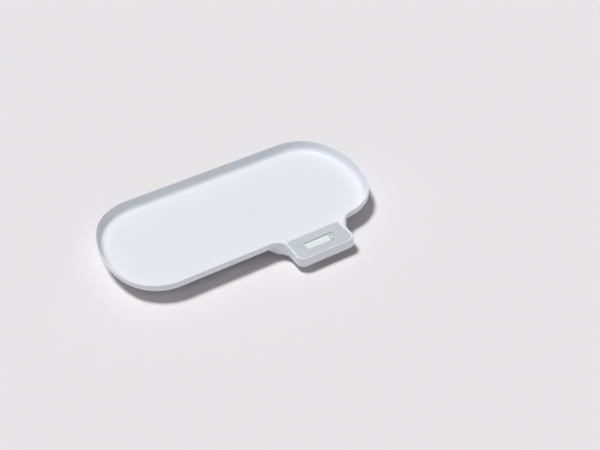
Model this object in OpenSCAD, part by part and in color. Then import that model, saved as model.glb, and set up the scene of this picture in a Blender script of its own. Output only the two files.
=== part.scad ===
// Digital baby weighing scale. A shallow oblong dish carries the baby, a pod at its front right
// holds the display and two keys, and four measuring feet stand under a flat bottom cover.
// Millimetres, +Z up. The origin is on the ground, under the middle of the whole scale.

/* [Tray] */
// Length of the tray, end to end
tray_len = 550; // [500:1:600]
// Width of the tray, without the pod
tray_wid = 270; // [250:1:290]
// Plan radius of the four corners
corner_r = 94; // [80:1:105]
// Plan radius of the two bowed ends
end_r = 200; // [180:1:240]
// Height of the rim above the ground
rim_z = 42; // [41:0.5:48]
// Thickness of the rim
rim_t = 3; // [2.6:0.1:3.6]
// Depth of the dish below the rim
dish_depth = 22; // [18:0.5:23]
// Radius between the dish floor and its wall
dish_fillet = 13; // [8:0.5:15]
// Lean of the dish wall, in degrees
dish_draft = 12; // [6:1:16]
// Wall thickness of the dish
dish_t = 2.2; // [1.8:0.1:2.6]
// Height of the skirt that hangs from the rim
skirt_h = 11.5; // [9:0.5:13]
// Thickness of the skirt
skirt_t = 1.5; // [1.2:0.1:1.8]
// Inset of the rib that frames the bottom cover
rib_inset = 20; // [18.5:0.5:26]
// Thickness of that rib
rib_t = 2; // [1.4:0.1:2.6]

/* [Pod] */
// Centre of the pod, right of the tray's middle
pod_cx = 93.8; // [85:0.1:100]
// Width of the pod
pod_wid = 121; // [118:0.5:124]
// How far the pod stands out of the tray's front
pod_reach = 60; // [58:0.5:70]
// Plan radius of the pod's front corners
pod_corner = 15; // [12:0.5:18]
// Plan radius where the tray's front flares into the pod, on the left
flare_r = 28; // [22:0.5:34]
// Plan radius where the pod flares into the tray's right corner
flare_right_r = 30; // [24:0.5:42]
// Fall of the rim from the tray to the pod
pod_drop = 8.5; // [7:0.25:10]
// Height of the pod's rim above its deck
lip_h = 2; // [1:0.25:3]
// Thickness of the pod's deck
deck_t = 3; // [2.6:0.1:3.4]
// Thickness of the pod's side walls
pod_wall = 2.2; // [1.8:0.1:2.8]

/* [Display] */
// Width of the panel
panel_wid = 111; // [106:0.5:112]
// Depth of the panel, front to back
panel_dep = 54; // [50:0.5:55]
// Thickness of the panel
panel_t = 1.4; // [1:0.1:1.6]
// Radius of the panel's front corners
panel_corner = 10; // [9:0.5:14]
// Radius of the panel's back corners
panel_back_corner = 6; // [3:0.5:10]
// Gap between the panel and the pod's front lip
panel_margin = 1.5; // [1:0.1:2.5]
// Width of the display window
window_wid = 61.5; // [50:0.5:62]
// Height of the display window
window_dep = 18.8; // [15:0.2:19]
// Corner radius of the display window
window_corner = 2; // [1:0.25:3]
// Distance of the window's middle from the tray's front edge line
window_out = 29.2; // [28:0.1:31]
// Thickness of the clear lens behind the panel
lens_t = 0.8; // [0.6:0.1:1]
// Thickness of the display glass
glass_t = 2.2; // [1.8:0.1:2.4]

/* [Keys] */
// Radius of a key cap
key_r = 4.6; // [3.8:0.1:5]
// Distance between the two keys
key_pitch = 87; // [86:0.5:90]
// Distance of the keys from the tray's front edge line
key_out = 23; // [22:0.25:26]
// How far a key stands above the panel
key_proud = 0.3; // [0:0.1:1]
// Travel of a key
key_travel = 0.5; // [0.3:0.1:0.6]

/* [Board] */
// Length of the circuit board
board_len = 96; // [94:0.5:97]
// Width of the circuit board
board_wid = 38; // [36:0.5:38.5]
// Thickness of the circuit board
board_t = 1.6; // [1:0.2:2]
// Drop from the deck to the board
board_drop = 5.5; // [5.5:0.1:6]

/* [Cover and feet] */
// Thickness of the bottom cover
cover_t = 1.8; // [1.4:0.1:2.4]
// Free height between the dish and the bottom cover
cavity_h = 2; // [2:0.1:2.6]
// Distance of the feet from the tray's ends
foot_end_in = 80; // [70:1:95]
// Distance of the feet from the tray's sides
foot_side_in = 57; // [55:1:65]
// Side of a load cell's plate
cell_side = 34; // [32:0.5:36]
// Thickness of a load cell's plate
cell_t = 1.2; // [1:0.1:1.4]
// Radius of a foot
foot_r = 15.5; // [13:0.5:16]
// Height of the rubber pad
pad_h = 3.4; // [2.6:0.1:4]
// Travel of a foot under full load
foot_travel = 0.5; // [0.3:0.1:0.6]
// Depth of the wells that hold the load cells
well_h = 7; // [6:0.25:8]
// How far the screw towers stand under the bottom cover
tower_h = 3.4; // [2.4:0.1:4.5]

/* [Batteries] */
// Radius of a battery
battery_r = 5.25; // [5:0.05:5.25]
// Length of a battery with its nub
battery_len = 44.5; // [43:0.5:46]
// Distance between neighbouring batteries
battery_pitch = 10.9; // [10.8:0.1:12]
// Middle of the battery bay, along the tray
bay_cx = 93.8; // [80:0.1:100]
// Middle of the battery bay, across the tray
bay_cy = -48; // [-52:0.5:-40]
// Thickness of the battery door
door_t = 2; // [1.6:0.1:2.2]

/* [Screws] */
// Radius of a cover screw's thread
screw_r = 1.2; // [1:0.05:1.4]
// Radius of a cover screw's head
head_r = 2.7; // [2.3:0.1:3]
// Height of a cover screw's head
head_h = 1.5; // [1.2:0.1:1.8]
// Radius of a board screw's thread
board_screw_r = 1; // [0.8:0.05:1.1]

/* [Hidden] */

$fn = 48;

// Clearances that several pieces share
slip = 0.2;          // between a loose piece and its pocket
screw_slip = 0.05;   // between a thread and its pilot hole
hole_slip = 0.25;    // between a screw and the plate that it holds
bury = 0.5;          // how deep a boss roots in its wall
past = 1;            // how far a cut runs past a face

// Plan of the tray: sides, corner arcs and end arcs that are tangent to each other
tray_cy = pod_reach / 2;
half_wid = tray_wid / 2;
front_y = tray_cy - half_wid;
corner_cy = half_wid - corner_r;
end_cx = tray_len / 2 - end_r;
corner_cx = end_cx + sqrt(pow(end_r - corner_r, 2) - pow(corner_cy, 2));
end_angle = asin(corner_cy / (end_r - corner_r));
corner_steps = 10;
end_steps = 10;
flare_steps = 2;

// Heights, from the rim down
rim_r = rim_t / 2;
rim_mid_z = rim_z - rim_r;
floor_z = rim_z - dish_depth;
under_z = floor_z - dish_t;
cover_z = under_z - cavity_h;
base_z = cover_z - cover_t;
skirt_z = rim_z - skirt_h;
pod_rim_z = rim_z - pod_drop;
deck_z = pod_rim_z - lip_h;
deck_under = deck_z - deck_t;
board_top = deck_under - board_drop;
board_under = board_top - board_t;

// Section of the dish, as inset from the outline and height
fillet_cz = floor_z + dish_fillet;
wall_foot_z = fillet_cz - dish_fillet * sin(dish_draft);
wall_foot_s = rim_t + (rim_mid_z - wall_foot_z) * tan(dish_draft);
fillet_cs = wall_foot_s + dish_fillet * cos(dish_draft);
wall_shift = dish_t / cos(dish_draft);
groove_top_z = rim_mid_z - (skirt_t + wall_shift - rim_t) / tan(dish_draft);

function arc(c, r, a0, a1, n) =
    [for (i = [0:n]) c + r * [cos(a0 + (a1 - a0) * i / n), sin(a0 + (a1 - a0) * i / n)]];
function tail(list) = [for (i = [1:len(list) - 1]) list[i]];

dish_section = concat(
    arc([fillet_cs, fillet_cz], dish_fillet, 270, 180 + dish_draft, 6),
    arc([rim_r, rim_mid_z], rim_r, 0, 180, 6),
    [[0, skirt_z], [skirt_t, skirt_z], [skirt_t, groove_top_z]],
    arc([fillet_cs, fillet_cz], dish_fillet + dish_t, 180 + dish_draft, 270, 6),
    [[rib_inset, under_z], [rib_inset, base_z]],
    [[rib_inset + rib_t, base_z], [rib_inset + rib_t, under_z]]
);

// Plan of the pod's two flares. A flare's centre lies outside the scale, so an inset makes its
// radius larger. The right one ends on the tray's corner arc, at the angle flare_turn past the front
pod_x0 = pod_cx - pod_wid / 2;
pod_x1 = pod_cx + pod_wid / 2;
pod_front = front_y - pod_reach;
flare_lx = pod_x0 - flare_r;
flare_rx = pod_x1 + flare_right_r;
right_past = max(0, flare_rx - corner_cx);
corner_mid_y = tray_cy - corner_cy;
flare_ly = front_y - flare_r;
flare_ry = corner_mid_y - sqrt(pow(corner_r + flare_right_r, 2) - pow(right_past, 2));
flare_turn = asin(right_past / (corner_r + flare_right_r));
flare_right_end = 90 + flare_turn;

// Stations round the outline: centre, radius and direction of the outward normal. The front right
// corner has one where the flare ends, so that both meet there
function turn(cx, cy, r, a0, a1, n) =
    [for (i = [0:n]) [cx, cy, r, a0 + (a1 - a0) * i / n]];
stations = concat(
    turn(end_cx, 0, end_r, -end_angle, end_angle, end_steps),
    tail(turn(corner_cx, corner_cy, corner_r, end_angle, 90, corner_steps)),
    turn(-corner_cx, corner_cy, corner_r, 90, 180 - end_angle, corner_steps),
    tail(turn(-end_cx, 0, end_r, 180 - end_angle, 180 + end_angle, end_steps)),
    tail(turn(-corner_cx, -corner_cy, corner_r, 180 + end_angle, 270, corner_steps)),
    flare_turn > 1
        ? turn(corner_cx, -corner_cy, corner_r, 270, 270 + flare_turn * (flare_steps - 1) / flare_steps,
               flare_steps - 1)
        : [],
    [for (i = [0:corner_steps - 1])
        [corner_cx, -corner_cy, corner_r,
         270 + flare_turn + (90 - end_angle - flare_turn) * i / corner_steps]]
);
function at_inset(st, s) =
    [st[0] + (st[2] - s) * cos(st[3]), tray_cy + st[1] + (st[2] - s) * sin(st[3])];
function outline(s) = [for (st = stations) at_inset(st, s)];

// Plan of the pod's walls
foot_turn = 55;      // where the flare ends below the skirt, in degrees
foot_lean = 30;      // lean of the wall that runs on under the dish
under_back_y = front_y + rib_inset + rib_t / 2;
cavity_back_y = front_y + rib_inset + rib_t + 4;

function pod_path(s, left_end, right_end) = concat(
    arc([flare_lx, flare_ly], flare_r + s, left_end, 0, 8),
    arc([pod_x0 + pod_corner, pod_front + pod_corner], pod_corner - s, 180, 270, 6),
    arc([pod_x1 - pod_corner, pod_front + pod_corner], pod_corner - s, 270, 360, 6),
    arc([flare_rx, flare_ry], flare_right_r + s, 180, right_end, 8)
);
// Above the skirt's lower edge the flares run out into the tray's front. There the walls end inside
// the tray's own wall, also where that curves back at the corner
function tray_edge(s) = flare_turn > 0
    ? arc([corner_cx, corner_mid_y], corner_r - s, 270 + 0.8 * flare_turn, 270, 3)
    : [[flare_rx, front_y + s]];
function pod_upper(s, back_in, right_back) = concat(
    [[flare_lx, front_y + back_in]],
    pod_path(s, 90, flare_right_end),
    right_back
);
// Below it the walls turn back under the dish
function back_run(p, lean, back_y) = [p[0] + (back_y - p[1]) * tan(lean), back_y];
function pod_lower(s, back_y) =
    let (path = pod_path(s, foot_turn, 180 - foot_turn))
    concat(
        [back_run(path[0], -foot_lean, back_y)],
        path,
        [back_run(path[len(path) - 1], foot_lean, back_y)]
    );

// Places on the panel
window_y = front_y - window_out;
key_y = front_y - key_out;
keys_x = [pod_cx - key_pitch / 2, pod_cx + key_pitch / 2];
panel_y0 = pod_front + rim_t + panel_margin - slip;
panel_cy = panel_y0 + panel_dep / 2;

// Display stack, from the panel down
panel_under = deck_z - panel_t;
lens_under = panel_under - lens_t;
lens_wid = window_wid + 4.5;
lens_dep = window_dep + 4.6;
glass_top = lens_under - 0.1;
glass_under = glass_top - glass_t;
glass_wid = window_wid + 4.5;
glass_dep = window_dep + 5.2;
opening_wid = glass_wid + 1;
opening_dep = glass_dep + 1;
frame_wid = glass_wid + 5;
frame_dep = glass_dep + 6;
strip_wid = 2;
strip_y = glass_dep / 2 - 2.5;

// Key stack, from the deck down
key_gap = 0.25;
flange_r = key_r + 1.4;
flange_t = 1;
flange_top = deck_under - slip;
flange_under = flange_top - flange_t;
switch_side = 6;
switch_top = flange_under - key_travel - 0.4;
plunger_r = 1.7;
plunger_slip = 0.05;
plunger_under = switch_top - 1.4;
plunger_well = plunger_under - key_travel - 0.3;

// Board screws, inside the board's corners
board_back = 2;      // how far the board's middle lies behind the window's
board_cy = window_y + board_back;
board_screw_x = board_len / 2 - 4;
board_screw_y = board_wid / 2 - 4;
board_boss_r = 2.6;
board_pilot_h = deck_under - board_top - 0.6;

// Cover screws: along the front and back edges, at the ends and in the pod's corners
tower_xs_front = [-130, -20, 152];
tower_xs_back = [-130, 0, 130];
end_tower_x = tray_len / 2 - 43;
cover_boss_r = 3.3;
tower_r = 5.2;
tower_inset = rib_inset + rib_t + slip + tower_r;
tower_lip = 1.4;
head_sink = 0.2;     // how deep a cover screw's head lies in its tower
boss_gap = 0.1;      // between a boss and the seat that it meets
tower_z = base_z - tower_h;
tower_seat_z = tower_z + head_h + head_sink;
boss_z = tower_seat_z + tower_lip + boss_gap;
pilot_top_z = under_z + 0.8;
screw_end_gap = 0.3;  // between a screw's end and the bottom of its pilot hole
tower_spots = concat(
    [for (x = tower_xs_front) [x, front_y + tower_inset]],
    [for (x = tower_xs_back) [x, tray_cy + half_wid - tower_inset]],
    [[-end_tower_x, tray_cy], [end_tower_x, tray_cy]]
);
pod_tower_r = 4.4;
pod_tower_in = pod_corner - (pod_corner - pod_wall - slip - pod_tower_r) / sqrt(2);
pod_tower_spots = [
    [pod_x0 + pod_tower_in, pod_front + pod_tower_in],
    [pod_x1 - pod_tower_in, pod_front + pod_tower_in]
];
pod_seat_z = base_z + head_h + head_sink;
pod_boss_z = pod_seat_z + tower_lip + boss_gap;
pod_pilot_h = 8;
pod_pilot_top = pod_boss_z + pod_pilot_h;

// Feet and load cells
foot_x = tray_len / 2 - foot_end_in;
foot_y = tray_wid / 2 - foot_side_in;
foot_spots = [
    ["fl", -foot_x, tray_cy - foot_y], ["fr", foot_x, tray_cy - foot_y],
    ["bl", -foot_x, tray_cy + foot_y], ["br", foot_x, tray_cy + foot_y]
];
function foot_at(name) = [for (f = foot_spots) if (f[0] == name) [f[1], f[2]]][0];
cell_ledge = foot_travel + 0.5;   // room above the tongue when it bends
cell_top = base_z - cell_ledge;
cell_under = cell_top - cell_t;
cell_corner = 3;
well_wall = 1.8;
well_in = cell_side + 2.4;
well_out = well_in + 2 * well_wall;
well_z = base_z - well_h;
ledge_rim = 3;
hook_wid = 6;
hook_in = 1.6;
tongue_wid = 15;
slot_wid = 2;
stake_r = 2;
stake_slip = 0.1;
post_r = 5;
cup_top = cell_under - 2.4;
cup_under = pad_h - 0.8;
pad_seat = 1.6;
pad_r = foot_r - 1.4;
gauge_x = 9;         // how far inboard of the foot the strain gauge sits
gauge_t = 0.3;
lead_slot_len = 13;

// Battery bay, from the dish's underside down
ceiling_top = under_z - 0.6;
ceiling_t = 0.9;
ceiling_z = ceiling_top - ceiling_t;
battery_z = ceiling_z - slip - battery_r;
door_top = battery_z - battery_r - 0.3;
door_z = door_top - door_t;
plate_t = 0.4;
spring_h = 4.6;
bay_in_x = battery_len + spring_h + 2 * plate_t + 0.1;
bay_in_y = 2 * battery_pitch + 2 * battery_r + 0.6;
bay_wall = 1.8;
rail_wall = 3.2;
rail_lip = 1;
rail_reach = 1.4;
tongue_reach = 1.2;
tongue_t = door_t - rail_lip - 0.1;
bay_x0 = bay_cx - bay_in_x / 2;
bay_x1 = bay_cx + bay_in_x / 2;
tab_z = cover_z + 0.1;
tab_t = 0.3;

// Leads of the load cells, in the flat space between cover and dish. A row holds the cell, the
// first bend from the cell, the bends beside the battery bay from the bay's middle, the last bend
// from the pod's middle on the tray's front edge line, and the pad on the board
lead_r = 0.7;
lead_z = cover_z + cavity_h / 2;
pad_row_y = board_cy + board_wid / 2 - 3;
lead_end_z = board_under - lead_r;
lead_rows = [
    ["fl", [45, 0], [[-94, 0], [-58, -10], [-46, -32]], [-40, 7], -37],
    ["bl", [45, -4], [[-134, 88], [-64, 28], [-41, -12], [-37, -34]], [-34, 7], -31],
    ["br", [40, -18], [[46, 88], [40, 28], [38, -22]], [35, 7], 33],
    ["fr", [37, 0], [[52, -10], [46, -28]], [41, 7], 39]
];

module rounded_plate(w, d, r, h, back_r) {
    b = is_undef(back_r) ? r : back_r;
    linear_extrude(h)
        polygon(concat(
            arc([w / 2 - b, d / 2 - b], b, 0, 90, 6),
            arc([-w / 2 + b, d / 2 - b], b, 90, 180, 6),
            arc([-w / 2 + r, -d / 2 + r], r, 180, 270, 6),
            arc([w / 2 - r, -d / 2 + r], r, 270, 360, 6)
        ));
}

// The panel's plan, let out by a clearance
module panel_plate(out, h) {
    rounded_plate(
        panel_wid + 2 * out, panel_dep + 2 * out, panel_corner + out, h, panel_back_corner + out
    );
}

module slab(w, d, h) {
    translate([-w / 2, -d / 2, 0]) cube([w, d, h]);
}

// A screw with its head down, standing on z = 0
module screw(r, length, big_r, big_h) {
    difference() {
        union() {
            cylinder(r = big_r, h = big_h);
            cylinder(r = r, h = length);
        }
        for (a = [0, 90])
            rotate(a) translate([0, 0, -past]) slab(big_r * 1.2, big_r * 0.26, past + big_h * 0.5);
    }
}

// A round tube along points that never stand upright
function unit(v) = v / norm(v);
function heading(p, i) = unit(p[min(i + 1, len(p) - 1)] - p[max(i - 1, 0)]);
module tube(p, r, sides = 8) {
    rings = [
        for (i = [0:len(p) - 1])
            let (t = heading(p, i), u = unit(cross(t, [0, 0, 1])), v = cross(u, t))
            for (k = [0:sides - 1]) p[i] + r * (u * cos(360 * k / sides) + v * sin(360 * k / sides))
    ];
    last = (len(p) - 1) * sides;
    skin = [
        for (i = [0:len(p) - 2]) for (k = [0:sides - 1])
            let (a = i * sides + k, b = i * sides + (k + 1) % sides)
            [a, b, b + sides, a + sides]
    ];
    polyhedron(rings, concat(
        skin,
        [[for (k = [0:sides - 1]) sides - 1 - k]],
        [[for (k = [0:sides - 1]) last + k]]
    ));
}

// The dish, its rim, skirt and rib as one skin, swept round the stations
module dish_skin() {
    n = len(stations);
    m = len(dish_section);
    points = [
        for (st = stations) for (q = dish_section)
            let (p = at_inset(st, q[0])) [p[0], p[1], q[1]]
    ];
    skin = [
        for (i = [0:n - 1]) for (j = [0:m - 2])
            let (a = i * m + j, b = ((i + 1) % n) * m + j)
            [a, a + 1, b + 1, b]
    ];
    polyhedron(points, concat(
        skin,
        [[for (i = [0:n - 1]) (n - 1 - i) * m]],
        [[for (i = [0:n - 1]) i * m + m - 1]]
    ));
}

// The side of the pod's walls, cut to end inside the dish's wall
module under_dish_profile() {
    mid = arc([fillet_cs, fillet_cz], dish_fillet + dish_t / 2, 180 + dish_draft, 262, 6);
    side = concat(
        [[pod_front - past, base_z], [pod_front - past, skirt_z], [front_y + rim_t + 0.4, skirt_z]],
        [for (q = mid) [front_y + q[0], q[1]]],
        [[under_back_y, under_z + dish_t / 2], [under_back_y, base_z]]
    );
    translate([flare_lx - flare_r, 0, 0]) rotate([90, 0, 90])
        linear_extrude(flare_rx - flare_lx + flare_r + flare_right_r) polygon(side);
}

module pod_walls() {
    difference() {
        intersection() {
            translate([0, 0, base_z])
                linear_extrude(skirt_z - base_z) polygon(pod_lower(0, under_back_y));
            under_dish_profile();
        }
        translate([0, 0, base_z - past])
            linear_extrude(deck_under - base_z + past) polygon(pod_lower(pod_wall, cavity_back_y));
    }
    translate([0, 0, skirt_z])
        linear_extrude(rim_z - skirt_z) polygon(pod_upper(0, rim_t + slip, tray_edge(rim_t + slip)));
}

// Opens the dish to the deck, inside the lip
module pod_pocket() {
    end_x = flare_rx - (flare_right_r + rim_t) * sin(flare_turn);
    translate([0, 0, deck_z])
        linear_extrude(rim_z - deck_z + past)
            polygon(pod_upper(rim_t, fillet_cs, [[end_x, front_y + fillet_cs]]));
}

// Lowers the rim along the flares, from the tray's height to the pod's
module rim_fall() {
    fall_start = front_y - 1.5;
    fall_len = flare_r + 4;
    curve = [
        for (i = [0:8])
            [fall_start - fall_len * i / 8, rim_z - pod_drop * (1 - cos(180 * i / 8)) / 2]
    ];
    translate([flare_lx - flare_r, 0, 0]) rotate([90, 0, 90])
        linear_extrude(flare_rx - flare_lx + flare_r + flare_right_r)
            polygon(concat(
                [[fall_start, rim_z + past]],
                curve,
                [[pod_front - past, pod_rim_z], [pod_front - past, rim_z + past]]
            ));
}

module at_keys() {
    for (x = keys_x) translate([x, key_y, 0]) children();
}

module at_board_screws() {
    for (sx = [-1, 1], sy = [-1, 1])
        translate([pod_cx + sx * board_screw_x, board_cy + sy * board_screw_y, 0]) children();
}

module at_spots(spots) {
    for (p = spots) translate([p[0], p[1], 0]) children();
}

module tray_shell() {
    color("white") difference() {
        union() {
            dish_skin();
            pod_walls();
            at_spots(tower_spots) translate([0, 0, boss_z])
                cylinder(r = cover_boss_r, h = under_z + bury - boss_z);
            at_spots(pod_tower_spots) translate([0, 0, pod_boss_z])
                cylinder(r = cover_boss_r, h = deck_under + bury - pod_boss_z);
            at_board_screws() translate([0, 0, board_top])
                cylinder(r = board_boss_r, h = deck_under + bury - board_top);
        }
        pod_pocket();
        rim_fall();
        // seat of the panel
        translate([pod_cx, panel_cy, panel_under]) panel_plate(slip, panel_t + past);
        // opening for the display glass
        translate([pod_cx, window_y, deck_under - past]) slab(opening_wid, opening_dep, deck_t + past);
        at_keys() translate([0, 0, deck_under - past])
            cylinder(r = key_r + key_gap, h = deck_t + 2 * past);
        // way for the leads from under the dish into the pod
        translate([0, 0, base_z - past])
            linear_extrude(under_z - base_z + past) polygon(pod_lower(pod_wall, cavity_back_y));
        at_spots(tower_spots) translate([0, 0, boss_z - past])
            cylinder(r = screw_r + screw_slip, h = pilot_top_z - boss_z + past);
        at_spots(pod_tower_spots) translate([0, 0, pod_boss_z - past])
            cylinder(r = screw_r + screw_slip, h = pod_pilot_top - pod_boss_z + past);
        at_board_screws() translate([0, 0, board_top - past])
            cylinder(r = board_screw_r + screw_slip, h = board_pilot_h + past);
    }
}

// A square well under the cover for one load cell, with its ledge and two hooks
module well_outside() {
    translate([0, 0, well_z])
        rounded_plate(well_out, well_out, cell_corner + 3, well_h + cover_t / 2);
}

module well_inside() {
    difference() {
        translate([0, 0, well_z - past]) rounded_plate(well_in, well_in, cell_corner + 1.2, well_h + past);
        // ledge that the cell's outer frame bears on
        difference() {
            translate([0, 0, cell_top]) slab(cell_side, cell_side, cell_ledge + past);
            translate([0, 0, cell_top - past])
                slab(cell_side - 2 * ledge_rim, cell_side - 2 * ledge_rim, cell_ledge + 3 * past);
        }
        // hooks that hold the cell up
        for (a = [90, 270])
            rotate(a) translate([well_in / 2 - hook_in, -hook_wid / 2, cell_under - 1.3])
                cube([hook_in + past, hook_wid, 1.2]);
    }
    // room for the tongue and the way out for its lead
    translate([0, 0, cell_top]) cylinder(r = post_r + 1, h = cell_ledge + cover_t + past);
}

module bay_outside() {
    translate([bay_cx, bay_cy, door_z])
        slab(bay_in_x + 2 * bay_wall, bay_in_y + 2 * rail_wall, ceiling_top - door_z);
}

module bay_inside() {
    groove_z = door_z + rail_lip;
    translate([bay_cx, bay_cy, door_z - past]) slab(bay_in_x, bay_in_y, ceiling_z - door_z + past);
    // grooves for the door's tongues, open at the left end
    translate([bay_x0 - bay_wall - past, bay_cy - bay_in_y / 2 - rail_reach, groove_z])
        cube([bay_in_x + bay_wall + past, bay_in_y + 2 * rail_reach, tongue_t + slip]);
    // way out for the door under the left end wall
    translate([bay_x0 - bay_wall - past, bay_cy - bay_in_y / 2, door_z - past])
        cube([bay_wall + 2 * past, bay_in_y, door_t + past + 0.1]);
    // slots for the contact plates' tabs
    for (x = [bay_x0 - bay_wall / 2, bay_x1 + bay_wall / 2])
        for (s = [-1, 1])
            translate([x, bay_cy + s * battery_pitch, tab_z - 0.05])
                slab(bay_wall + 2 * past, 3.4, tab_t + 0.1);
}

module bottom_cover() {
    inset = rib_inset + rib_t + slip;
    color("whitesmoke") difference() {
        union() {
            translate([0, 0, base_z]) linear_extrude(cover_t) {
                polygon(outline(inset));
                polygon(pod_lower(pod_wall + slip, cavity_back_y));
            }
            for (f = foot_spots) translate([f[1], f[2], 0]) well_outside();
            bay_outside();
            at_spots(tower_spots) translate([0, 0, tower_z]) cylinder(r = tower_r, h = cover_z - tower_z);
            at_spots(pod_tower_spots) translate([0, 0, base_z])
                cylinder(r = pod_tower_r, h = pod_seat_z + tower_lip - base_z);
        }
        for (f = foot_spots) translate([f[1], f[2], 0]) {
            well_inside();
            // slot for the strain gauge's lead
            translate([-sign(f[1]) * (gauge_x + lead_slot_len / 2 - 4), 0, base_z - past])
                slab(lead_slot_len, 4, cover_t + 2 * past);
        }
        bay_inside();
        at_spots(tower_spots) {
            translate([0, 0, tower_z - past])
                cylinder(r = head_r + hole_slip, h = tower_seat_z - tower_z + past);
            translate([0, 0, tower_z]) cylinder(r = screw_r + hole_slip, h = boss_z - tower_z);
            translate([0, 0, tower_seat_z + tower_lip])
                cylinder(r = cover_boss_r + slip, h = cover_z - tower_seat_z);
        }
        at_spots(pod_tower_spots) {
            translate([0, 0, base_z - past])
                cylinder(r = head_r + hole_slip, h = pod_seat_z - base_z + past);
            translate([0, 0, base_z]) cylinder(r = screw_r + hole_slip, h = pod_boss_z - base_z);
        }
    }
}

module display_panel() {
    color("lightsteelblue") difference() {
        translate([pod_cx, panel_cy, panel_under]) panel_plate(0, panel_t);
        translate([pod_cx, window_y, panel_under - past])
            rounded_plate(window_wid, window_dep, window_corner, panel_t + 2 * past);
        at_keys() translate([0, 0, panel_under - past])
            cylinder(r = key_r + key_gap, h = panel_t + 2 * past);
    }
}

// A stepped clear lens: its step fills the panel's window
module lcd_lens() {
    color("white", 0.4) translate([pod_cx, window_y, lens_under]) union() {
        slab(lens_wid, lens_dep, lens_t);
        translate([0, 0, lens_t])
            rounded_plate(window_wid - slip, window_dep - slip, window_corner, panel_t - slip);
    }
}

module lcd_glass() {
    color("lightgray") translate([pod_cx, window_y, glass_under]) slab(glass_wid, glass_dep, glass_t);
}

module lcd_frame() {
    color("white") translate([pod_cx, window_y, 0]) difference() {
        translate([0, 0, board_top]) slab(frame_wid, frame_dep, deck_under - board_top);
        translate([0, 0, glass_under]) slab(glass_wid + 0.4, glass_dep + 0.4, glass_t + past);
        translate([0, 0, board_top - past])
            slab(glass_wid - 4, glass_dep - 2.4, deck_under - board_top + 2 * past);
    }
}

module zebra_strips() {
    color("dimgray") for (s = [-1, 1])
        translate([pod_cx, window_y + s * strip_y, board_top])
            slab(glass_wid - 6, strip_wid, glass_under - board_top);
}

module main_board() {
    color("darkgreen") difference() {
        translate([pod_cx, board_cy, board_under]) slab(board_len, board_wid, board_t);
        at_board_screws() translate([0, 0, board_under - past])
            cylinder(r = board_screw_r + hole_slip, h = board_t + 2 * past);
    }
}

// Converter, controller under its blob, oscillator can and capacitors, below the board
module board_chips() {
    converter = [9, 6, 1.5];
    blob_r = 6;
    blob_h = 1.2;
    can = [8, 3.4, 2.4];
    capacitor_r = 2.5;
    capacitor_h = 3.4;
    resistor = [2, 1.2, 0.8];
    color("black") translate([pod_cx, board_cy, board_under]) {
        translate([-18, 2, -converter[2]]) slab(converter[0], converter[1], converter[2]);
        translate([4, 1, -blob_h]) cylinder(r = blob_r, h = blob_h);
        translate([22, 4, -can[2]]) slab(can[0], can[1], can[2]);
        for (x = [-30, 33]) translate([x, -5, -capacitor_h]) cylinder(r = capacitor_r, h = capacitor_h);
        for (x = [-10, -4, 14, 20])
            translate([x, -10, -resistor[2]]) slab(resistor[0], resistor[1], resistor[2]);
    }
}

module key_switches() {
    color("silver") at_keys() difference() {
        translate([0, 0, board_top]) slab(switch_side, switch_side, switch_top - board_top);
        translate([0, 0, plunger_well])
            cylinder(r = plunger_r + plunger_slip, h = switch_top - plunger_well + past);
    }
}

module key(x) {
    color("gainsboro") translate([x, key_y, 0]) {
        translate([0, 0, flange_under]) cylinder(r = flange_r, h = flange_t);
        translate([0, 0, flange_under]) cylinder(r = key_r, h = deck_z + key_proud - flange_under);
    }
}

module plunger(x) {
    color("black") translate([x, key_y, plunger_under])
        cylinder(r = plunger_r, h = flange_under - plunger_under);
}

module left_key() { key(keys_x[0]); }
module right_key() { key(keys_x[1]); }
module left_plunger() { plunger(keys_x[0]); }
module right_plunger() { plunger(keys_x[1]); }

module battery_door() {
    door_len = bay_in_x + bay_wall - slip;
    door_x0 = bay_x0 - bay_wall;
    door_wid = bay_in_y - 0.5;
    ridge_x = door_x0 + 12;
    color("whitesmoke") union() {
        translate([door_x0, bay_cy - door_wid / 2, door_z]) cube([door_len, door_wid, door_t]);
        translate([door_x0, bay_cy - door_wid / 2 - tongue_reach, door_top - tongue_t])
            cube([door_len, door_wid + 2 * tongue_reach, tongue_t]);
        // finger ridges, across the way it slides
        for (i = [0:4]) translate([ridge_x + 3 * i, bay_cy, door_z - 0.5]) slab(1.2, 16, 1);
    }
}

module batteries() {
    for (i = [-1:1]) {
        flip = (i == 0) ? -1 : 1;
        nub_h = 0.8;
        body_h = battery_len - nub_h;
        low_x = (i == 0) ? bay_x0 + plate_t + 0.1 : bay_x1 - plate_t - 0.1;
        place = [low_x, bay_cy + i * battery_pitch, battery_z];
        color("seagreen") translate(place) rotate([0, -90 * flip, 0]) {
            cylinder(r = 1.9, h = 2 * nub_h);
            translate([0, 0, nub_h]) cylinder(r = battery_r, h = body_h);
        }
    }
}

module battery_springs() {
    for (i = [-1:1]) {
        flip = (i == 0) ? -1 : 1;
        root_x = (i == 0) ? bay_x1 - plate_t : bay_x0 + plate_t;
        color("silver") translate([root_x, bay_cy + i * battery_pitch, battery_z]) rotate([0, 90 * flip, 0])
            cylinder(r1 = 3.6, r2 = 2.2, h = spring_h);
    }
}

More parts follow.
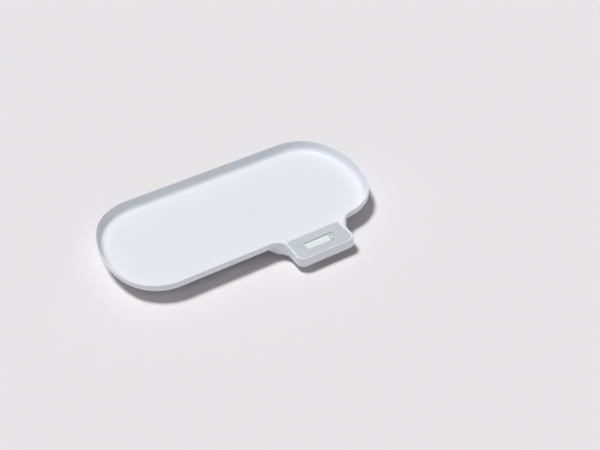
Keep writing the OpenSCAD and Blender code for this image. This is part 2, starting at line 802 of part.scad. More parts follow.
// Contact plates: single ones at the first and last battery, wide ones that join two
module battery_plates() {
    plate_h = 2 * battery_r - 1.6;
    low_z = battery_z - plate_h / 2;
    color("lightgray") {
        for (side = [-1, 1]) {
            x = (side < 0) ? bay_x0 : bay_x1 - plate_t;
            single_y = bay_cy + side * battery_pitch;
            pair_y = bay_cy - side * battery_pitch / 2;
            tab_x = (side < 0) ? bay_x0 - bay_wall - 1.6 : bay_x1 - plate_t;
            translate([x, single_y - 4.2, low_z]) cube([plate_t, 8.4, plate_h]);
            translate([x, pair_y - battery_pitch / 2 - 4.2, low_z])
                cube([plate_t, battery_pitch + 8.4, plate_h]);
            translate([x, single_y - 1.5, battery_z]) cube([plate_t, 3, tab_z + tab_t - battery_z]);
            translate([tab_x, single_y - 1.5, tab_z]) cube([bay_wall + 1.6 + plate_t, 3, tab_t]);
        }
    }
}

// A stamped plate whose middle tongue bends when the foot presses on it
module load_cell(name) {
    spot = foot_at(name);
    inboard = -sign(spot[0]);
    reach = cell_side / 2 - 5;
    color("silver") translate([spot[0], spot[1], cell_under]) difference() {
        rounded_plate(cell_side, cell_side, cell_corner, cell_t);
        for (s = [-1, 1]) translate([-inboard * 1.5, s * (tongue_wid + slot_wid) / 2, -past])
            slab(2 * reach - 3, slot_wid, cell_t + 2 * past);
        translate([-inboard * (reach - slot_wid / 2), 0, -past])
            slab(slot_wid, tongue_wid + 2 * slot_wid, cell_t + 2 * past);
        translate([0, 0, -past]) cylinder(r = stake_r + stake_slip, h = cell_t + 2 * past);
    }
}

module load_cell_fl() { load_cell("fl"); }
module load_cell_fr() { load_cell("fr"); }
module load_cell_bl() { load_cell("bl"); }
module load_cell_br() { load_cell("br"); }

module strain_gauges() {
    color("ivory") for (f = foot_spots)
        translate([f[1] - sign(f[1]) * gauge_x, f[2], cell_top]) slab(5, 7, gauge_t);
}

// A cup under each cell: its stake is riveted through the tongue, its skirt holds the pad
module foot_cup(name) {
    spot = foot_at(name);
    color("gainsboro") translate([spot[0], spot[1], 0]) difference() {
        union() {
            translate([0, 0, cup_under]) cylinder(r = foot_r, h = cup_top - cup_under);
            translate([0, 0, cup_under]) cylinder(r = post_r, h = cell_under - cup_under);
            translate([0, 0, cup_under]) cylinder(r = stake_r, h = cell_top + 0.2 - cup_under);
        }
        translate([0, 0, cup_under - past]) cylinder(r = pad_r + 0.1, h = pad_seat + past);
    }
}

module foot_cup_fl() { foot_cup("fl"); }
module foot_cup_fr() { foot_cup("fr"); }
module foot_cup_bl() { foot_cup("bl"); }
module foot_cup_br() { foot_cup("br"); }

module foot_pad(name) {
    spot = foot_at(name);
    edge = 0.8;
    color("darkgray") translate([spot[0], spot[1], 0]) rotate_extrude()
        polygon([
            [0, 0.4], [pad_r - 5, 0.4], [pad_r - 4, 0], [pad_r - edge, 0],
            [pad_r, edge], [pad_r, cup_under + pad_seat], [0, cup_under + pad_seat]
        ]);
}

module foot_pad_fl() { foot_pad("fl"); }
module foot_pad_fr() { foot_pad("fr"); }
module foot_pad_bl() { foot_pad("bl"); }
module foot_pad_br() { foot_pad("br"); }

// Leads of the four strain gauges, from each cell to the back row of the board
module cell_leads() {
    color("gray") for (row = lead_rows) {
        spot = foot_at(row[0]);
        inboard = -sign(spot[0]);
        start = [
            [spot[0] + inboard * gauge_x, spot[1], cell_top + gauge_t + lead_r],
            [spot[0] + inboard * (gauge_x + 2.5), spot[1], cell_top + gauge_t + lead_r + 0.6],
            [spot[0] + inboard * (gauge_x + 6), spot[1], lead_z - 0.3],
            [spot[0] + inboard * (gauge_x + 9), spot[1], lead_z]
        ];
        run = concat(
            [[spot[0] + inboard * row[1][0], spot[1] + row[1][1], lead_z]],
            [for (q = row[2]) [bay_cx + q[0], bay_cy + q[1], lead_z]],
            [[pod_cx + row[3][0], front_y + row[3][1], lead_z]]
        );
        pad_x = pod_cx + row[4];
        finish = [[pad_x, pad_row_y + 4, lead_end_z - 1], [pad_x, pad_row_y, lead_end_z]];
        tube(concat(start, run, finish), lead_r);
    }
}

module battery_leads() {
    battery_lead_r = 0.55;
    z = tab_z + tab_t + battery_lead_r;
    plus_x = pod_cx - 16;
    minus_x = pod_cx + 6;
    low_x = bay_x0 - bay_wall - 0.9;
    high_x = bay_x1 + bay_wall + 0.9;
    low_y = bay_cy - battery_pitch;
    high_y = bay_cy + battery_pitch;
    color("firebrick") tube([
        [low_x, low_y, z], [low_x, low_y - 10, z], [low_x + 4, bay_cy - 32, z],
        [pod_cx - 20, front_y + 7, z], [plus_x, pad_row_y + 4, lead_end_z - 1],
        [plus_x, pad_row_y, lead_end_z + 0.15]
    ], battery_lead_r);
    color("black") tube([
        [high_x, high_y, z], [high_x, high_y - 10, z], [high_x, bay_cy - 24, z],
        [high_x - 6, bay_cy - 34, z], [pod_cx + 10, front_y + 7, z],
        [minus_x, pad_row_y + 4, lead_end_z - 1], [minus_x, pad_row_y, lead_end_z + 0.15]
    ], battery_lead_r);
}

module cover_screws() {
    color("silver") {
        at_spots(tower_spots) translate([0, 0, tower_seat_z - head_h])
            screw(screw_r, pilot_top_z - screw_end_gap - tower_seat_z + head_h, head_r, head_h);
        at_spots(pod_tower_spots) translate([0, 0, pod_seat_z - head_h])
            screw(screw_r, pod_pilot_top - screw_end_gap - pod_seat_z + head_h, head_r, head_h);
    }
}

module board_screws() {
    length = board_top + board_pilot_h - 0.3 - board_under + 1.2;
    color("silver") at_board_screws() translate([0, 0, board_under - 1.2])
        screw(board_screw_r, length, 2, 1.2);
}

tray_shell();
bottom_cover();
display_panel();
lcd_lens();
lcd_glass();
lcd_frame();
zebra_strips();
main_board();
board_chips();
key_switches();
left_key();
right_key();
left_plunger();
right_plunger();
battery_door();
batteries();
battery_springs();
battery_plates();
load_cell_fl();
load_cell_fr();
load_cell_bl();
load_cell_br();
strain_gauges();
foot_cup_fl();
foot_cup_fr();
foot_cup_bl();
foot_cup_br();
foot_pad_fl();
foot_pad_fr();
foot_pad_bl();
foot_pad_br();
cell_leads();
battery_leads();
cover_screws();
board_screws();
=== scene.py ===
# %% [markdown]
# # Digital baby weighing scale
# The object is a low, oblong weighing dish in glossy white plastic, with a display pod at its front
# right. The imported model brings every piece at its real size. This notebook gives the pieces their
# real surfaces and finishes, one step at a time, and never moves anything.

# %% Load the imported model
import math

import bpy
import numpy as np
from mathutils import Matrix, Vector


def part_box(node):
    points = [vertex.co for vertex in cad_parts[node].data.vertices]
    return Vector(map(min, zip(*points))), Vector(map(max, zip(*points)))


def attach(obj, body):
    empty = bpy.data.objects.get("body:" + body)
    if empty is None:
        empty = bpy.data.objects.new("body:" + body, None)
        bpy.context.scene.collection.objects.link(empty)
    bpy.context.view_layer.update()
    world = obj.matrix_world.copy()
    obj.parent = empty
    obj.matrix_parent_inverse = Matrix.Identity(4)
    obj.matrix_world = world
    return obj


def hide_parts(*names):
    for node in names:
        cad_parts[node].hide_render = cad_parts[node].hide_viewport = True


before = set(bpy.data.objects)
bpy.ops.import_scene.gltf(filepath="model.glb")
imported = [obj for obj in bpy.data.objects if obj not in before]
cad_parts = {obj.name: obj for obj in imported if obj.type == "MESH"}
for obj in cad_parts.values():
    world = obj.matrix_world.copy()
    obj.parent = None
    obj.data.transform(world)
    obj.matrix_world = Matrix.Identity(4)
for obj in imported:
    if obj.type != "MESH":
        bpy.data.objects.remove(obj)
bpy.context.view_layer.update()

# %% [markdown]
# ## Camera
# The photograph looks down from the front left through a long lens. The angles, the distance and
# the offset of the lens come from fitting the dish's outline and the pod's corners, so a point of
# the dish's rim lands where the photograph has it. The photograph's frame is 600 by 450 pixels.

# %% Camera
MM = 0.001
FRAME_WIDTH, FRAME_HEIGHT = 600, 450
view_azimuth, view_elevation, view_roll = -24.0, 38.78, -5.63
view_distance = 1.706
focal_pixels = 878.8
optical_axis_pixel = (233.8, 206.4)
rim_centre = Vector((0, 0.030, 0.042))


def aim_camera():
    """The camera sits at the target plus distance times the unit vector that points back at it.

    That vector is (sin a cos e, -cos a cos e, sin e), and the roll turns the picture about it."""
    azimuth, elevation = math.radians(view_azimuth), math.radians(view_elevation)
    back = Vector((
        math.sin(azimuth) * math.cos(elevation),
        -math.cos(azimuth) * math.cos(elevation),
        math.sin(elevation),
    ))
    level_right = Vector((math.cos(azimuth), math.sin(azimuth), 0))
    level_up = back.cross(level_right)
    roll = math.radians(view_roll)
    right = math.cos(roll) * level_right + math.sin(roll) * level_up
    up = math.cos(roll) * level_up - math.sin(roll) * level_right
    lens = bpy.data.cameras.new("view_lens")
    lens.sensor_width = 36
    lens.lens = focal_pixels / FRAME_WIDTH * lens.sensor_width
    lens.shift_x = (FRAME_WIDTH / 2 - optical_axis_pixel[0]) / FRAME_WIDTH
    lens.shift_y = (optical_axis_pixel[1] - FRAME_HEIGHT / 2) / FRAME_WIDTH
    lens.clip_start, lens.clip_end = 0.05, 50
    camera = bpy.data.objects.new("view_camera", lens)
    turn = Matrix((right, up, back)).transposed().to_4x4()
    camera.matrix_world = Matrix.Translation(rim_centre + view_distance * back) @ turn
    bpy.context.scene.collection.objects.link(camera)
    bpy.context.scene.camera = camera
    return camera


camera = aim_camera()
bpy.context.scene.view_settings.view_transform = "Standard"
print("camera at", tuple(round(v, 3) for v in camera.location), "lens", round(camera.data.lens, 2))

# %% [markdown]
# ## Helpers for meshes
# Every new surface is a grid of points: one parameter runs along a path and the other across a
# section. The grid is worked out as one numpy array and goes into the mesh whole. Closed pieces come
# from a section that is carried round a loop.

# %% Grid meshes
def mesh_object(name, points, faces):
    """An object at the origin from an array of points and a list of faces."""
    mesh = bpy.data.meshes.new(name)
    mesh.from_pydata(np.asarray(points, float).reshape(-1, 3).tolist(), [], faces)
    mesh.validate()
    piece = bpy.data.objects.new(name, mesh)
    bpy.context.scene.collection.objects.link(piece)
    return piece


def grid_faces(rows, columns, wrap_rows=False, wrap_columns=False):
    """Quads between neighbours of a grid that is stored row by row."""
    i = np.arange(rows if wrap_rows else rows - 1)[:, None]
    j = np.arange(columns if wrap_columns else columns - 1)[None, :]
    after_i, after_j = (i + 1) % rows, (j + 1) % columns
    quads = np.stack([
        i * columns + j, after_i * columns + j, after_i * columns + after_j, i * columns + after_j,
    ], -1)
    return quads.reshape(-1, 4).tolist()


def swept_solid(grid):
    """Faces of a closed solid from a grid of stations round a loop by places along a section.

    The section's first and last places make two rings, and one flat face closes each."""
    stations, places = grid.shape[:2]
    faces = grid_faces(stations, places, wrap_rows=True)
    ring = np.arange(stations) * places
    return faces + [ring[::-1].tolist(), (ring + places - 1).tolist()]


print("a grid of 4 by 3 points has", len(grid_faces(4, 3)), "faces, and as a closed loop",
      len(grid_faces(4, 3, wrap_rows=True)))

# %% [markdown]
# Many solids here are upright: a plan is carried up from one height to another. Some pieces are
# several such solids in one mesh.

# %% Upright solids
def at_height(plan, z):
    """A ring: the places of a plan, at one height or at a height for each place."""
    return np.column_stack([plan, np.broadcast_to(z, len(plan))])


def prism(name, plan, low, high):
    """An upright solid over a plan, from low to high."""
    grid = np.stack([at_height(plan, low), at_height(plan, high)], axis=1)
    return mesh_object(name, grid, swept_solid(grid))


def joined(name, pieces):
    """One mesh from several pieces, each of which stays a closed shell of its own."""
    points, faces = [], []
    for piece in pieces:
        first = sum(len(p) for p in points)
        points.append(np.array([v.co for v in piece.data.vertices]))
        faces += [[first + v for v in face.vertices] for face in piece.data.polygons]
        bpy.data.objects.remove(piece)
    return mesh_object(name, np.concatenate(points), faces)


print("a ring at 2 mm:", at_height(np.zeros((1, 2)), 2 * MM).tolist())

# %% [markdown]
# Smooth shading needs its sharp edges marked. Holes are cut with closed solids, and bosses are
# joined on in the same way. A cut is applied at once, so a finished piece holds only its mesh.

# %% Shading and cutting
def smooth_by_angle(piece, degrees=35):
    """Smooth shading, with edges kept sharp where the surface turns by more than the angle."""
    piece.data.polygons.foreach_set("use_smooth", np.ones(len(piece.data.polygons), bool))
    piece.data.set_sharp_from_angle(angle=math.radians(degrees))
    return piece


def apply_modifiers(piece):
    """Turns what the modifiers show into the piece's own mesh."""
    graph = bpy.context.evaluated_depsgraph_get()
    finished = bpy.data.meshes.new_from_object(piece.evaluated_get(graph))
    piece.modifiers.clear()
    piece.data = finished
    return piece


def cut(piece, cutters, operation="DIFFERENCE"):
    """Takes closed solids away from a piece, or joins them to it, and deletes them."""
    for cutter in cutters:
        boolean = piece.modifiers.new("cut", "BOOLEAN")
        boolean.operation = operation
        boolean.solver = "MANIFOLD"
        boolean.object = cutter
        apply_modifiers(piece)
        bpy.data.objects.remove(cutter)
    return piece


print("cuts are applied at once, and their solids are deleted")

# %% [markdown]
# ## Plan of the dish and the pod
# Seen from above the dish is two long sides, two gently bowed ends and four large corner arcs, all
# tangent. The pod grows out of its front through two hollow flares. The outline is a row of
# stations, each with its place and the direction that points outwards, so that an inset line is
# the place minus the inset times the direction.

# %% Plan
tray_low, tray_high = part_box("tray_shell")
half_length = tray_high.x
half_width = 135 * MM
tray_y = tray_high.y - half_width
front_y = tray_y - half_width
corner_radius, end_radius = 94 * MM, 200 * MM
end_x = half_length - end_radius
corner_y = half_width - corner_radius
corner_x = end_x + math.sqrt((end_radius - corner_radius) ** 2 - corner_y**2)
bow_angle = math.degrees(math.asin(corner_y / (end_radius - corner_radius)))

pod_middle, pod_width = 93.8 * MM, 121 * MM
pod_left, pod_right = pod_middle - pod_width / 2, pod_middle + pod_width / 2
pod_front = tray_low.y
pod_corner, left_flare_radius, right_flare_radius = 15 * MM, 28 * MM, 30 * MM
left_flare = np.array([pod_left - left_flare_radius, front_y - left_flare_radius])
right_flare_x = pod_right + right_flare_radius
between_centres = corner_radius + right_flare_radius
right_flare = np.array([
    right_flare_x,
    tray_y - corner_y - math.sqrt(between_centres**2 - (right_flare_x - corner_x) ** 2),
])
right_flare_end = 90 + math.degrees(math.asin((right_flare_x - corner_x) / between_centres))
wall_turn = 55  # degrees along a flare, where the pod's tall wall gives way to the skirt
print("pod from", round(pod_left / MM, 1), "to", round(pod_right / MM, 1), "mm")

# %% [markdown]
# A stretch of the outline is an arc or a straight line. Both give their stations as whole arrays.
# The rows are closer together on the pod, where the turns are tight.

# %% Stretches
def arc_stations(centre, radius, start, end, spacing=2.6 * MM, hollow=False):
    """Places on an arc: centre plus radius times (cosine, sine) of angles from start to end.

    The direction outwards is that same unit vector, or its opposite on a hollow flare."""
    count = max(2, math.ceil(abs(math.radians(end - start)) * radius / spacing))
    angle = np.radians(np.linspace(start, end, count + 1))
    unit = np.stack([np.cos(angle), np.sin(angle)], 1)
    return np.asarray(centre) + radius * unit, -unit if hollow else unit


def line_stations(start, end, outward, spacing=6 * MM):
    """Places on a straight stretch from start to end, which all share one direction."""
    start, end = np.asarray(start, float), np.asarray(end, float)
    count = max(1, math.ceil(np.linalg.norm(end - start) / spacing))
    share = np.linspace(0, 1, count + 1)[:, None]
    return start + share * (end - start), np.tile(np.asarray(outward, float), (count + 1, 1))


def join_stretches(stretches):
    """Joins stretches of stations end to end. Where two of them meet, one station is kept."""
    places = np.concatenate([p[:-1] for p, _ in stretches])
    outwards = np.concatenate([n[:-1] for _, n in stretches])
    return places, outwards


tray_stretches = [
    arc_stations((corner_x, tray_y - corner_y), corner_radius, right_flare_end + 180, 360 - bow_angle),
    arc_stations((end_x, tray_y), end_radius, -bow_angle, bow_angle),
    arc_stations((corner_x, tray_y + corner_y), corner_radius, bow_angle, 90),
    line_stations((corner_x, tray_high.y), (-corner_x, tray_high.y), (0, 1)),
    arc_stations((-corner_x, tray_y + corner_y), corner_radius, 90, 180 - bow_angle),
    arc_stations((-end_x, tray_y), end_radius, 180 - bow_angle, 180 + bow_angle),
    arc_stations((-corner_x, tray_y - corner_y), corner_radius, 180 + bow_angle, 270),
    line_stations((-corner_x, front_y), (left_flare[0], front_y), (0, -1)),
]
side_y = pod_front + pod_corner
left_corner, right_corner = (pod_left + pod_corner, side_y), (pod_right - pod_corner, side_y)
fine, on_sides, on_front = 1.1 * MM, 3 * MM, 4 * MM
skirt_flare_left = arc_stations(left_flare, left_flare_radius, 90, wall_turn, fine, True)
skirt_flare_right = arc_stations(
    right_flare, right_flare_radius, 180 - wall_turn, right_flare_end, fine, True
)
pod_stretches = [
    arc_stations(left_flare, left_flare_radius, wall_turn, 0, fine, True),
    line_stations((pod_left, left_flare[1]), (pod_left, side_y), (-1, 0), on_sides),
    arc_stations(left_corner, pod_corner, 180, 270, fine),
    line_stations((left_corner[0], pod_front), (right_corner[0], pod_front), (0, -1), on_front),
    arc_stations(right_corner, pod_corner, 270, 360, fine),
    line_stations((pod_right, side_y), (pod_right, right_flare[1]), (1, 0), on_sides),
    arc_stations(right_flare, right_flare_radius, 180, 180 - wall_turn, fine, True),
]
print(len(tray_stretches) + len(pod_stretches) + 2, "stretches")

# %% [markdown]
# All stretches together make one loop. The pod's wall is tall, down to the cover, and the skirt is
# short, so a mark on each station says which of the two it has.

# %% The whole outline
def outline_stations():
    """The whole outline, anticlockwise from the right flare, and which stations have the tall wall.

    The wall begins and ends at a station that is there twice, once with the skirt and once with
    the wall, so that the step between them is upright."""
    tray_p, tray_n = join_stretches(tray_stretches)
    left_p, left_n = skirt_flare_left
    pod_p, pod_n = join_stretches(pod_stretches)
    last_p, last_n = pod_stretches[-1][0][-1:], pod_stretches[-1][1][-1:]
    right_p, right_n = skirt_flare_right[0][:-1], skirt_flare_right[1][:-1]
    place = np.concatenate([tray_p, left_p, pod_p, last_p, right_p])
    outward = np.concatenate([tray_n, left_n, pod_n, last_n, right_n])
    tall = np.zeros(len(place), bool)
    first_tall = len(tray_p) + len(left_p)
    tall[first_tall:first_tall + len(pod_p) + 1] = True
    beside_pod = np.zeros(len(place), bool)
    beside_pod[len(tray_p):] = True
    return place, outward, tall, beside_pod


outline, outward, tall, beside_pod = outline_stations()
print(len(outline), "stations,", int(tall.sum()), "of them on the pod's tall wall")

# %% [markdown]
# ## The tray
# The real tray is one moulding: rim, skirt, dish and pod flow into each other. A boolean of simple
# solids would leave hard creases there, so the whole skin is one sweep. Its section starts under
# the dish, comes down inside the skirt, climbs the outside, rolls over the rim and runs down the
# dish's wall to the floor. At the pod the section also crosses the deck. It then leaves the
# outline and lands on the dish's own front line, so each station has a second place there.

# %% Heights
rim_top, rim_radius = tray_high.z, 1.5 * MM
dish_depth, wall_thickness = 22 * MM, 2.2 * MM
tall_wall, skirt_height, skirt_thickness, pod_wall = 28 * MM, 11.5 * MM, 1.5 * MM, 2.2 * MM
pod_drop, deck_depth, deck_thickness = 8.5 * MM, 2 * MM, 3 * MM
floor_z = rim_top - dish_depth
under_z = floor_z - wall_thickness
base_z, skirt_z = rim_top - tall_wall, rim_top - skirt_height
pod_rim = rim_top - pod_drop
deck_z = pod_rim - deck_depth
deck_under = deck_z - deck_thickness
draft = math.radians(12)
fillet_radius = 13 * MM
fillet_z = floor_z + fillet_radius
foot_of_wall = fillet_z - fillet_radius * math.sin(draft)
fillet_inset = (
    2 * rim_radius + (rim_top - rim_radius - foot_of_wall) * math.tan(draft)
    + fillet_radius * math.cos(draft)
)
print("floor at", round(floor_z / MM, 1), "mm, deck at", round(deck_z / MM, 1), "mm")

# %% [markdown]
# The second place of a station is where it lands on the dish. Away from the pod it is the station
# itself. On the pod it is shared out along the dish's front line, so that the rows never cross.

# %% The line that each station lands on
def smooth_step(t):
    """Zero below 0, one above 1, and 3t squared minus 2t cubed between."""
    t = np.clip(t, 0, 1)
    return t * t * (3 - 2 * t)


def rim_height(y):
    """The rim falls from the tray's height to the pod's by half a cosine wave, front to back."""
    start, length = front_y - 1.5 * MM, left_flare_radius + 4 * MM
    share = np.clip((start - y) / length, 0, 1)
    return rim_top - (rim_top - pod_rim) * (1 - np.cos(np.pi * share)) / 2


def wall_inset(rim, z):
    """Inset of the drafted inner wall: the rim's width, plus the drop times the draft's tangent."""
    return 2 * rim_radius + (rim - rim_radius - z) * math.tan(draft)


def landing_x():
    """Where, along the dish's front line, each station of the pod lands.

    On the flares and the front it is straight behind the lip, and the pod's sides and corners
    share out the stretch between."""
    lip = outline - 2 * rim_radius * outward
    x = lip[:, 0].copy()
    step = np.linalg.norm(np.diff(lip, axis=0, prepend=lip[:1]), axis=1)
    for centre_x, flare_y, sign in (
        (left_corner[0], left_flare[1], -1), (right_corner[0], right_flare[1], 1)
    ):
        in_front = outline[:, 1] < flare_y + fine / 9  # a little more than the flare's own end
        inner = beside_pod & in_front & ((outline[:, 0] - centre_x) * sign >= 0)
        along = np.cumsum(np.where(inner, step, 0))[inner]
        share = (along - along[0]) / (along[-1] - along[0])
        side_x = centre_x + sign * (pod_corner - 2 * rim_radius)
        ends = (side_x, centre_x) if sign < 0 else (centre_x, side_x)
        x[inner] = ends[0] + share * (ends[1] - ends[0])
    on_right_flare = beside_pod & (outline[:, 0] > pod_right) & (outline[:, 1] > right_flare[1])
    turn = np.clip((outline[:, 0] - pod_right) / (outline[0, 0] - pod_right), 0, 1)
    x = np.where(on_right_flare, x + (outline[:, 0] - x) * smooth_step(turn), x)
    return np.where(beside_pod, x, outline[:, 0])


def dish_line(x):
    """Place and direction outwards on the dish's front edge at x: the straight side, then the arc."""
    sine = np.clip((x - corner_x) / corner_radius, 0, 1)
    cosine = np.sqrt(1 - sine**2)
    y = tray_y - corner_y - corner_radius * cosine
    return np.stack([x, y], 1), np.stack([sine, -cosine], 1)


landing, landing_outward = dish_line(landing_x())
landing = np.where(beside_pod[:, None], landing, outline)
landing_outward = np.where(beside_pod[:, None], landing_outward, outward)
rim = np.where(beside_pod, rim_height(outline[:, 1]), rim_top)
print("the rim falls from", round(rim.max() / MM, 1), "to", round(rim.min() / MM, 1), "mm")

# %% [markdown]
# The skin is a list of rings. A ring has one point for every station, at an inset from the outline
# or from the dish's own edge, and at a height. Rings between two others are shares of both.

# %% Rings
def at_outline(inset, z):
    """A ring of points at an inset from the outline and a height."""
    return at_height(outline - np.broadcast_to(inset, len(outline))[:, None] * outward, z)


def at_dish(inset, z):
    """The same, at an inset from the dish's own edge."""
    return at_height(landing - np.broadcast_to(inset, len(outline))[:, None] * landing_outward, z)


def between(a, b, count):
    """Rings between two rings, at even shares and without the two."""
    return [a + (b - a) * k / (count + 1) for k in range(1, count + 1)]


def bend(a, corner, b, count):
    """A quadratic curve from a to b: (1-t) squared a + 2t(1-t) corner + t squared b."""
    shares = np.linspace(0, 1, count)
    return [(1 - t) ** 2 * a + 2 * t * (1 - t) * corner + t**2 * b for t in shares]


def fillet_rings(radius, start, end, count):
    """Rings down the dish's rounded foot, about the fillet's centre, by the angle below level."""
    angles = np.radians(np.linspace(start, end, count))
    return [
        at_dish(fillet_inset - radius * math.cos(a), fillet_z - radius * math.sin(a)) for a in angles
    ]


print("a ring has", len(at_outline(0, rim_top)), "points")

# %% [markdown]
# On the dish, the rim runs straight into the drafted wall. On the pod there is a low lip, then the
# deck, then a soft edge down into the dish. The deck grows out of the wall as it gets wider.

# %% Lip and deck
def lip_and_deck(join_angle):
    """Rings from the rim's inner edge to the fillet: wall only on the dish, lip and deck at the pod.

    Both are worked out for every station. The share of the deck goes from 0 to 1 with its width."""
    join_inset = fillet_inset - fillet_radius * math.cos(join_angle)
    join_z = fillet_z - fillet_radius * math.sin(join_angle)
    join = at_dish(join_inset, join_z)
    reach = (deck_z - join_z) * math.tan(join_angle)
    lip_foot = at_outline(wall_inset(rim, deck_z), deck_z)
    edge = at_dish(join_inset - reach, deck_z)
    gap = edge - lip_foot
    width = np.linalg.norm(gap, axis=1)[:, None]
    along = gap / np.maximum(width, 1e-9)
    lip_bend, edge_bend, flat_start = 1.6 * MM, 3.2 * MM, 0.5 * MM
    lip_share, near_share, far_share, flat_share = 0.7, 0.3, 0.42, 0.1  # at most, where it is tight
    lip_height = np.minimum(lip_bend, lip_share * (rim - rim_radius - deck_z))
    near, far = np.minimum(lip_bend, near_share * width), np.minimum(edge_bend, far_share * width)
    spare = np.minimum(flat_start, flat_share * width)
    lip_start = at_outline(wall_inset(rim, deck_z + lip_height), deck_z + lip_height)
    pod_rings = (
        bend(lip_start, lip_foot, lip_foot + along * near, 6)
        + [lip_foot + along * (near + spare), edge - along * (far + spare)]
        + bend(edge - along * far, edge, join, 9)
    )

    def on_wall(drop):
        """A ring on the drafted wall, at a drop in millimetres below the deck's level."""
        z = deck_z - drop * MM
        return at_dish(wall_inset(rim_top, z), z)

    wall_rings = (
        bend(on_wall(-1.6), on_wall(-1.0), on_wall(-0.4), 6)
        + [on_wall(-0.25), on_wall(0.0)]
        + bend(on_wall(0.2), on_wall(1.82), join, 9)
    )
    deck_starts, deck_full = 0.2 * MM, 3.7 * MM
    share = smooth_step((width - deck_starts) / (deck_full - deck_starts)) * beside_pod[:, None]
    return [w + (p - w) * share for w, p in zip(wall_rings, pod_rings)]


join_drop = 2.6 * MM
join_angle = math.asin((fillet_z - (deck_z - join_drop)) / fillet_radius)
deck_rings = lip_and_deck(join_angle)
print("lip and deck:", len(deck_rings), "rings, joined at", round(math.degrees(join_angle)), "degrees")

# %% [markdown]
# Below, a rib frames the cover. It stops at the pod, where two return walls take over: they run on
# from the flares' ends, back under the dish, until they meet the rib.

# %% The return walls' lines and the rib
rib_out, rib_in, rib_draft = 20 * MM, 22 * MM, 0.2 * MM
return_lean, straight_share = 30, 0.3
return_roots = {
    "left": (left_flare, left_flare_radius, wall_turn, -return_lean),
    "right": (right_flare, right_flare_radius, 180 - wall_turn, return_lean),
}


def return_line(side, extra):
    """The wall's plan, at a depth behind the outline: a quadratic curve that leaves the flare's end.

    It is (1-t) squared a + 2t(1-t) c + t squared b, where c lies ahead of a along the flare, and
    the height from a to b times the tangent of the lean is how far b stands to the side."""
    centre, radius, start_angle, lean = return_roots[side]
    turn = math.radians(start_angle)
    unit = np.array([math.cos(turn), math.sin(turn)])
    forward = np.array([-unit[1], unit[0]]) * (-1 if lean > 0 else 1)
    start = centre + (radius + extra) * unit
    rise = front_y + (rib_out + rib_in) / 2 - start[1]
    end = start + np.array([rise * math.tan(math.radians(lean)), rise])
    ahead = start + forward * rise * straight_share
    t = np.linspace(0, 1, 32)[:, None]
    return (1 - t) ** 2 * start + 2 * t * (1 - t) * ahead + t**2 * end


def rib_stands():
    """Whether the rib stands at a station: it ends inside the thickness of the return walls."""
    left, right = (return_line(side, pod_wall / 2)[-1, 0] for side in ("left", "right"))
    ahead = landing[:, 1] < front_y + 1 * MM
    return ~(tall | (ahead & (landing[:, 0] > left) & (landing[:, 0] < right)))


print("the rib stands at", int(rib_stands().sum()), "stations")

# %% [markdown]
# Underneath, the dish's shell keeps its thickness round the foot of the wall. Then the rings climb
# into the hollow between the wall and the skirt, which on the pod is the hollow of the pod.

# %% Underside
def underside():
    """Rings from under the floor, over the rib that frames the cover, to the skirt's inside."""
    rib_low = np.where(rib_stands(), base_z, under_z - rib_draft)
    outer = fillet_radius + wall_thickness
    landing_angle = math.asin((fillet_z - deck_under) / outer)
    rings = [
        at_dish(rib_in + 2 * MM, under_z), at_dish(rib_in, under_z),
        at_dish(rib_in - rib_draft, rib_low), at_dish(rib_out + rib_draft, rib_low),
        at_dish(rib_out, under_z),
    ]
    rings += fillet_rings(outer, 90, math.degrees(landing_angle), 12)
    shift = wall_thickness / math.cos(draft)
    groove_z = (
        rim_top - rim_radius - (skirt_thickness + shift - 2 * rim_radius) / math.tan(draft)
    )
    flat = smooth_step(np.linalg.norm(landing - outline, axis=1) / (2.5 * MM))
    groove_top = np.where(tall, deck_under, groove_z + (skirt_z - groove_z) * flat)
    inside = np.where(tall, pod_wall, skirt_thickness)
    top = at_outline(inside, groove_top)
    start_of_line = at_dish(wall_inset(rim_top, foot_of_wall) - shift, foot_of_wall)
    wall = [rings[-1] + (start_of_line - rings[-1]) * 0.5, start_of_line]
    wall += between(start_of_line, top, 2)
    straight = between(rings[-1], top, 4)
    share = np.maximum(flat, tall)[:, None]
    rings += [w + (s - w) * share for w, s in zip(wall, straight)]
    return rings + [top], inside


below_rings, skin_inside = underside()
print("underside:", len(below_rings), "rings")

# %% [markdown]
# Outside, the skirt's lower edge is a little rounded, and the rim is a half circle from the outer
# wall to the inner one. The finished section closes on the dish's flat floor.

# %% Outside and the whole skin
def outside(inside):
    """Rings down the skirt's inside, round its lower edge, up the outside and over the rim."""
    low = np.where(tall, base_z, skirt_z)
    edge = 0.4 * MM
    corner_share = 1 - math.sqrt(0.5)
    rings = [
        at_outline(inside, low + edge),
        at_outline(inside - edge * corner_share, low + edge * corner_share),
        at_outline(inside - edge, low),
        at_outline(edge, low),
        at_outline(edge * corner_share, low + edge * corner_share),
        at_outline(0, low + edge),
    ]
    rings += between(rings[-1], at_outline(0, rim - rim_radius), 2)
    for angle in np.linspace(0, math.pi, 13):
        rings.append(at_outline(
            rim_radius * (1 - math.cos(angle)), rim - rim_radius + rim_radius * math.sin(angle)
        ))
    return rings


def tray_rings():
    """All rings of the section, in order."""
    over = outside(skin_inside)
    wall = between(over[-1], deck_rings[0], 2)
    foot = fillet_rings(fillet_radius, math.degrees(join_angle), 90, 16)[1:]
    flat = at_dish(fillet_inset + 1 * MM, floor_z)
    return below_rings + over + wall + deck_rings + foot + [flat]


tray_grid = np.stack(tray_rings(), axis=1)
tray = mesh_object("tray", tray_grid, swept_solid(tray_grid))
print("tray skin:", tray_grid.shape[0], "stations by", tray_grid.shape[1], "places")

# %% [markdown]
# The return walls are short and upright, and their top edge follows the middle of the dish's
# shell. Each leaves its flare in the flare's own direction and bends to its lean.

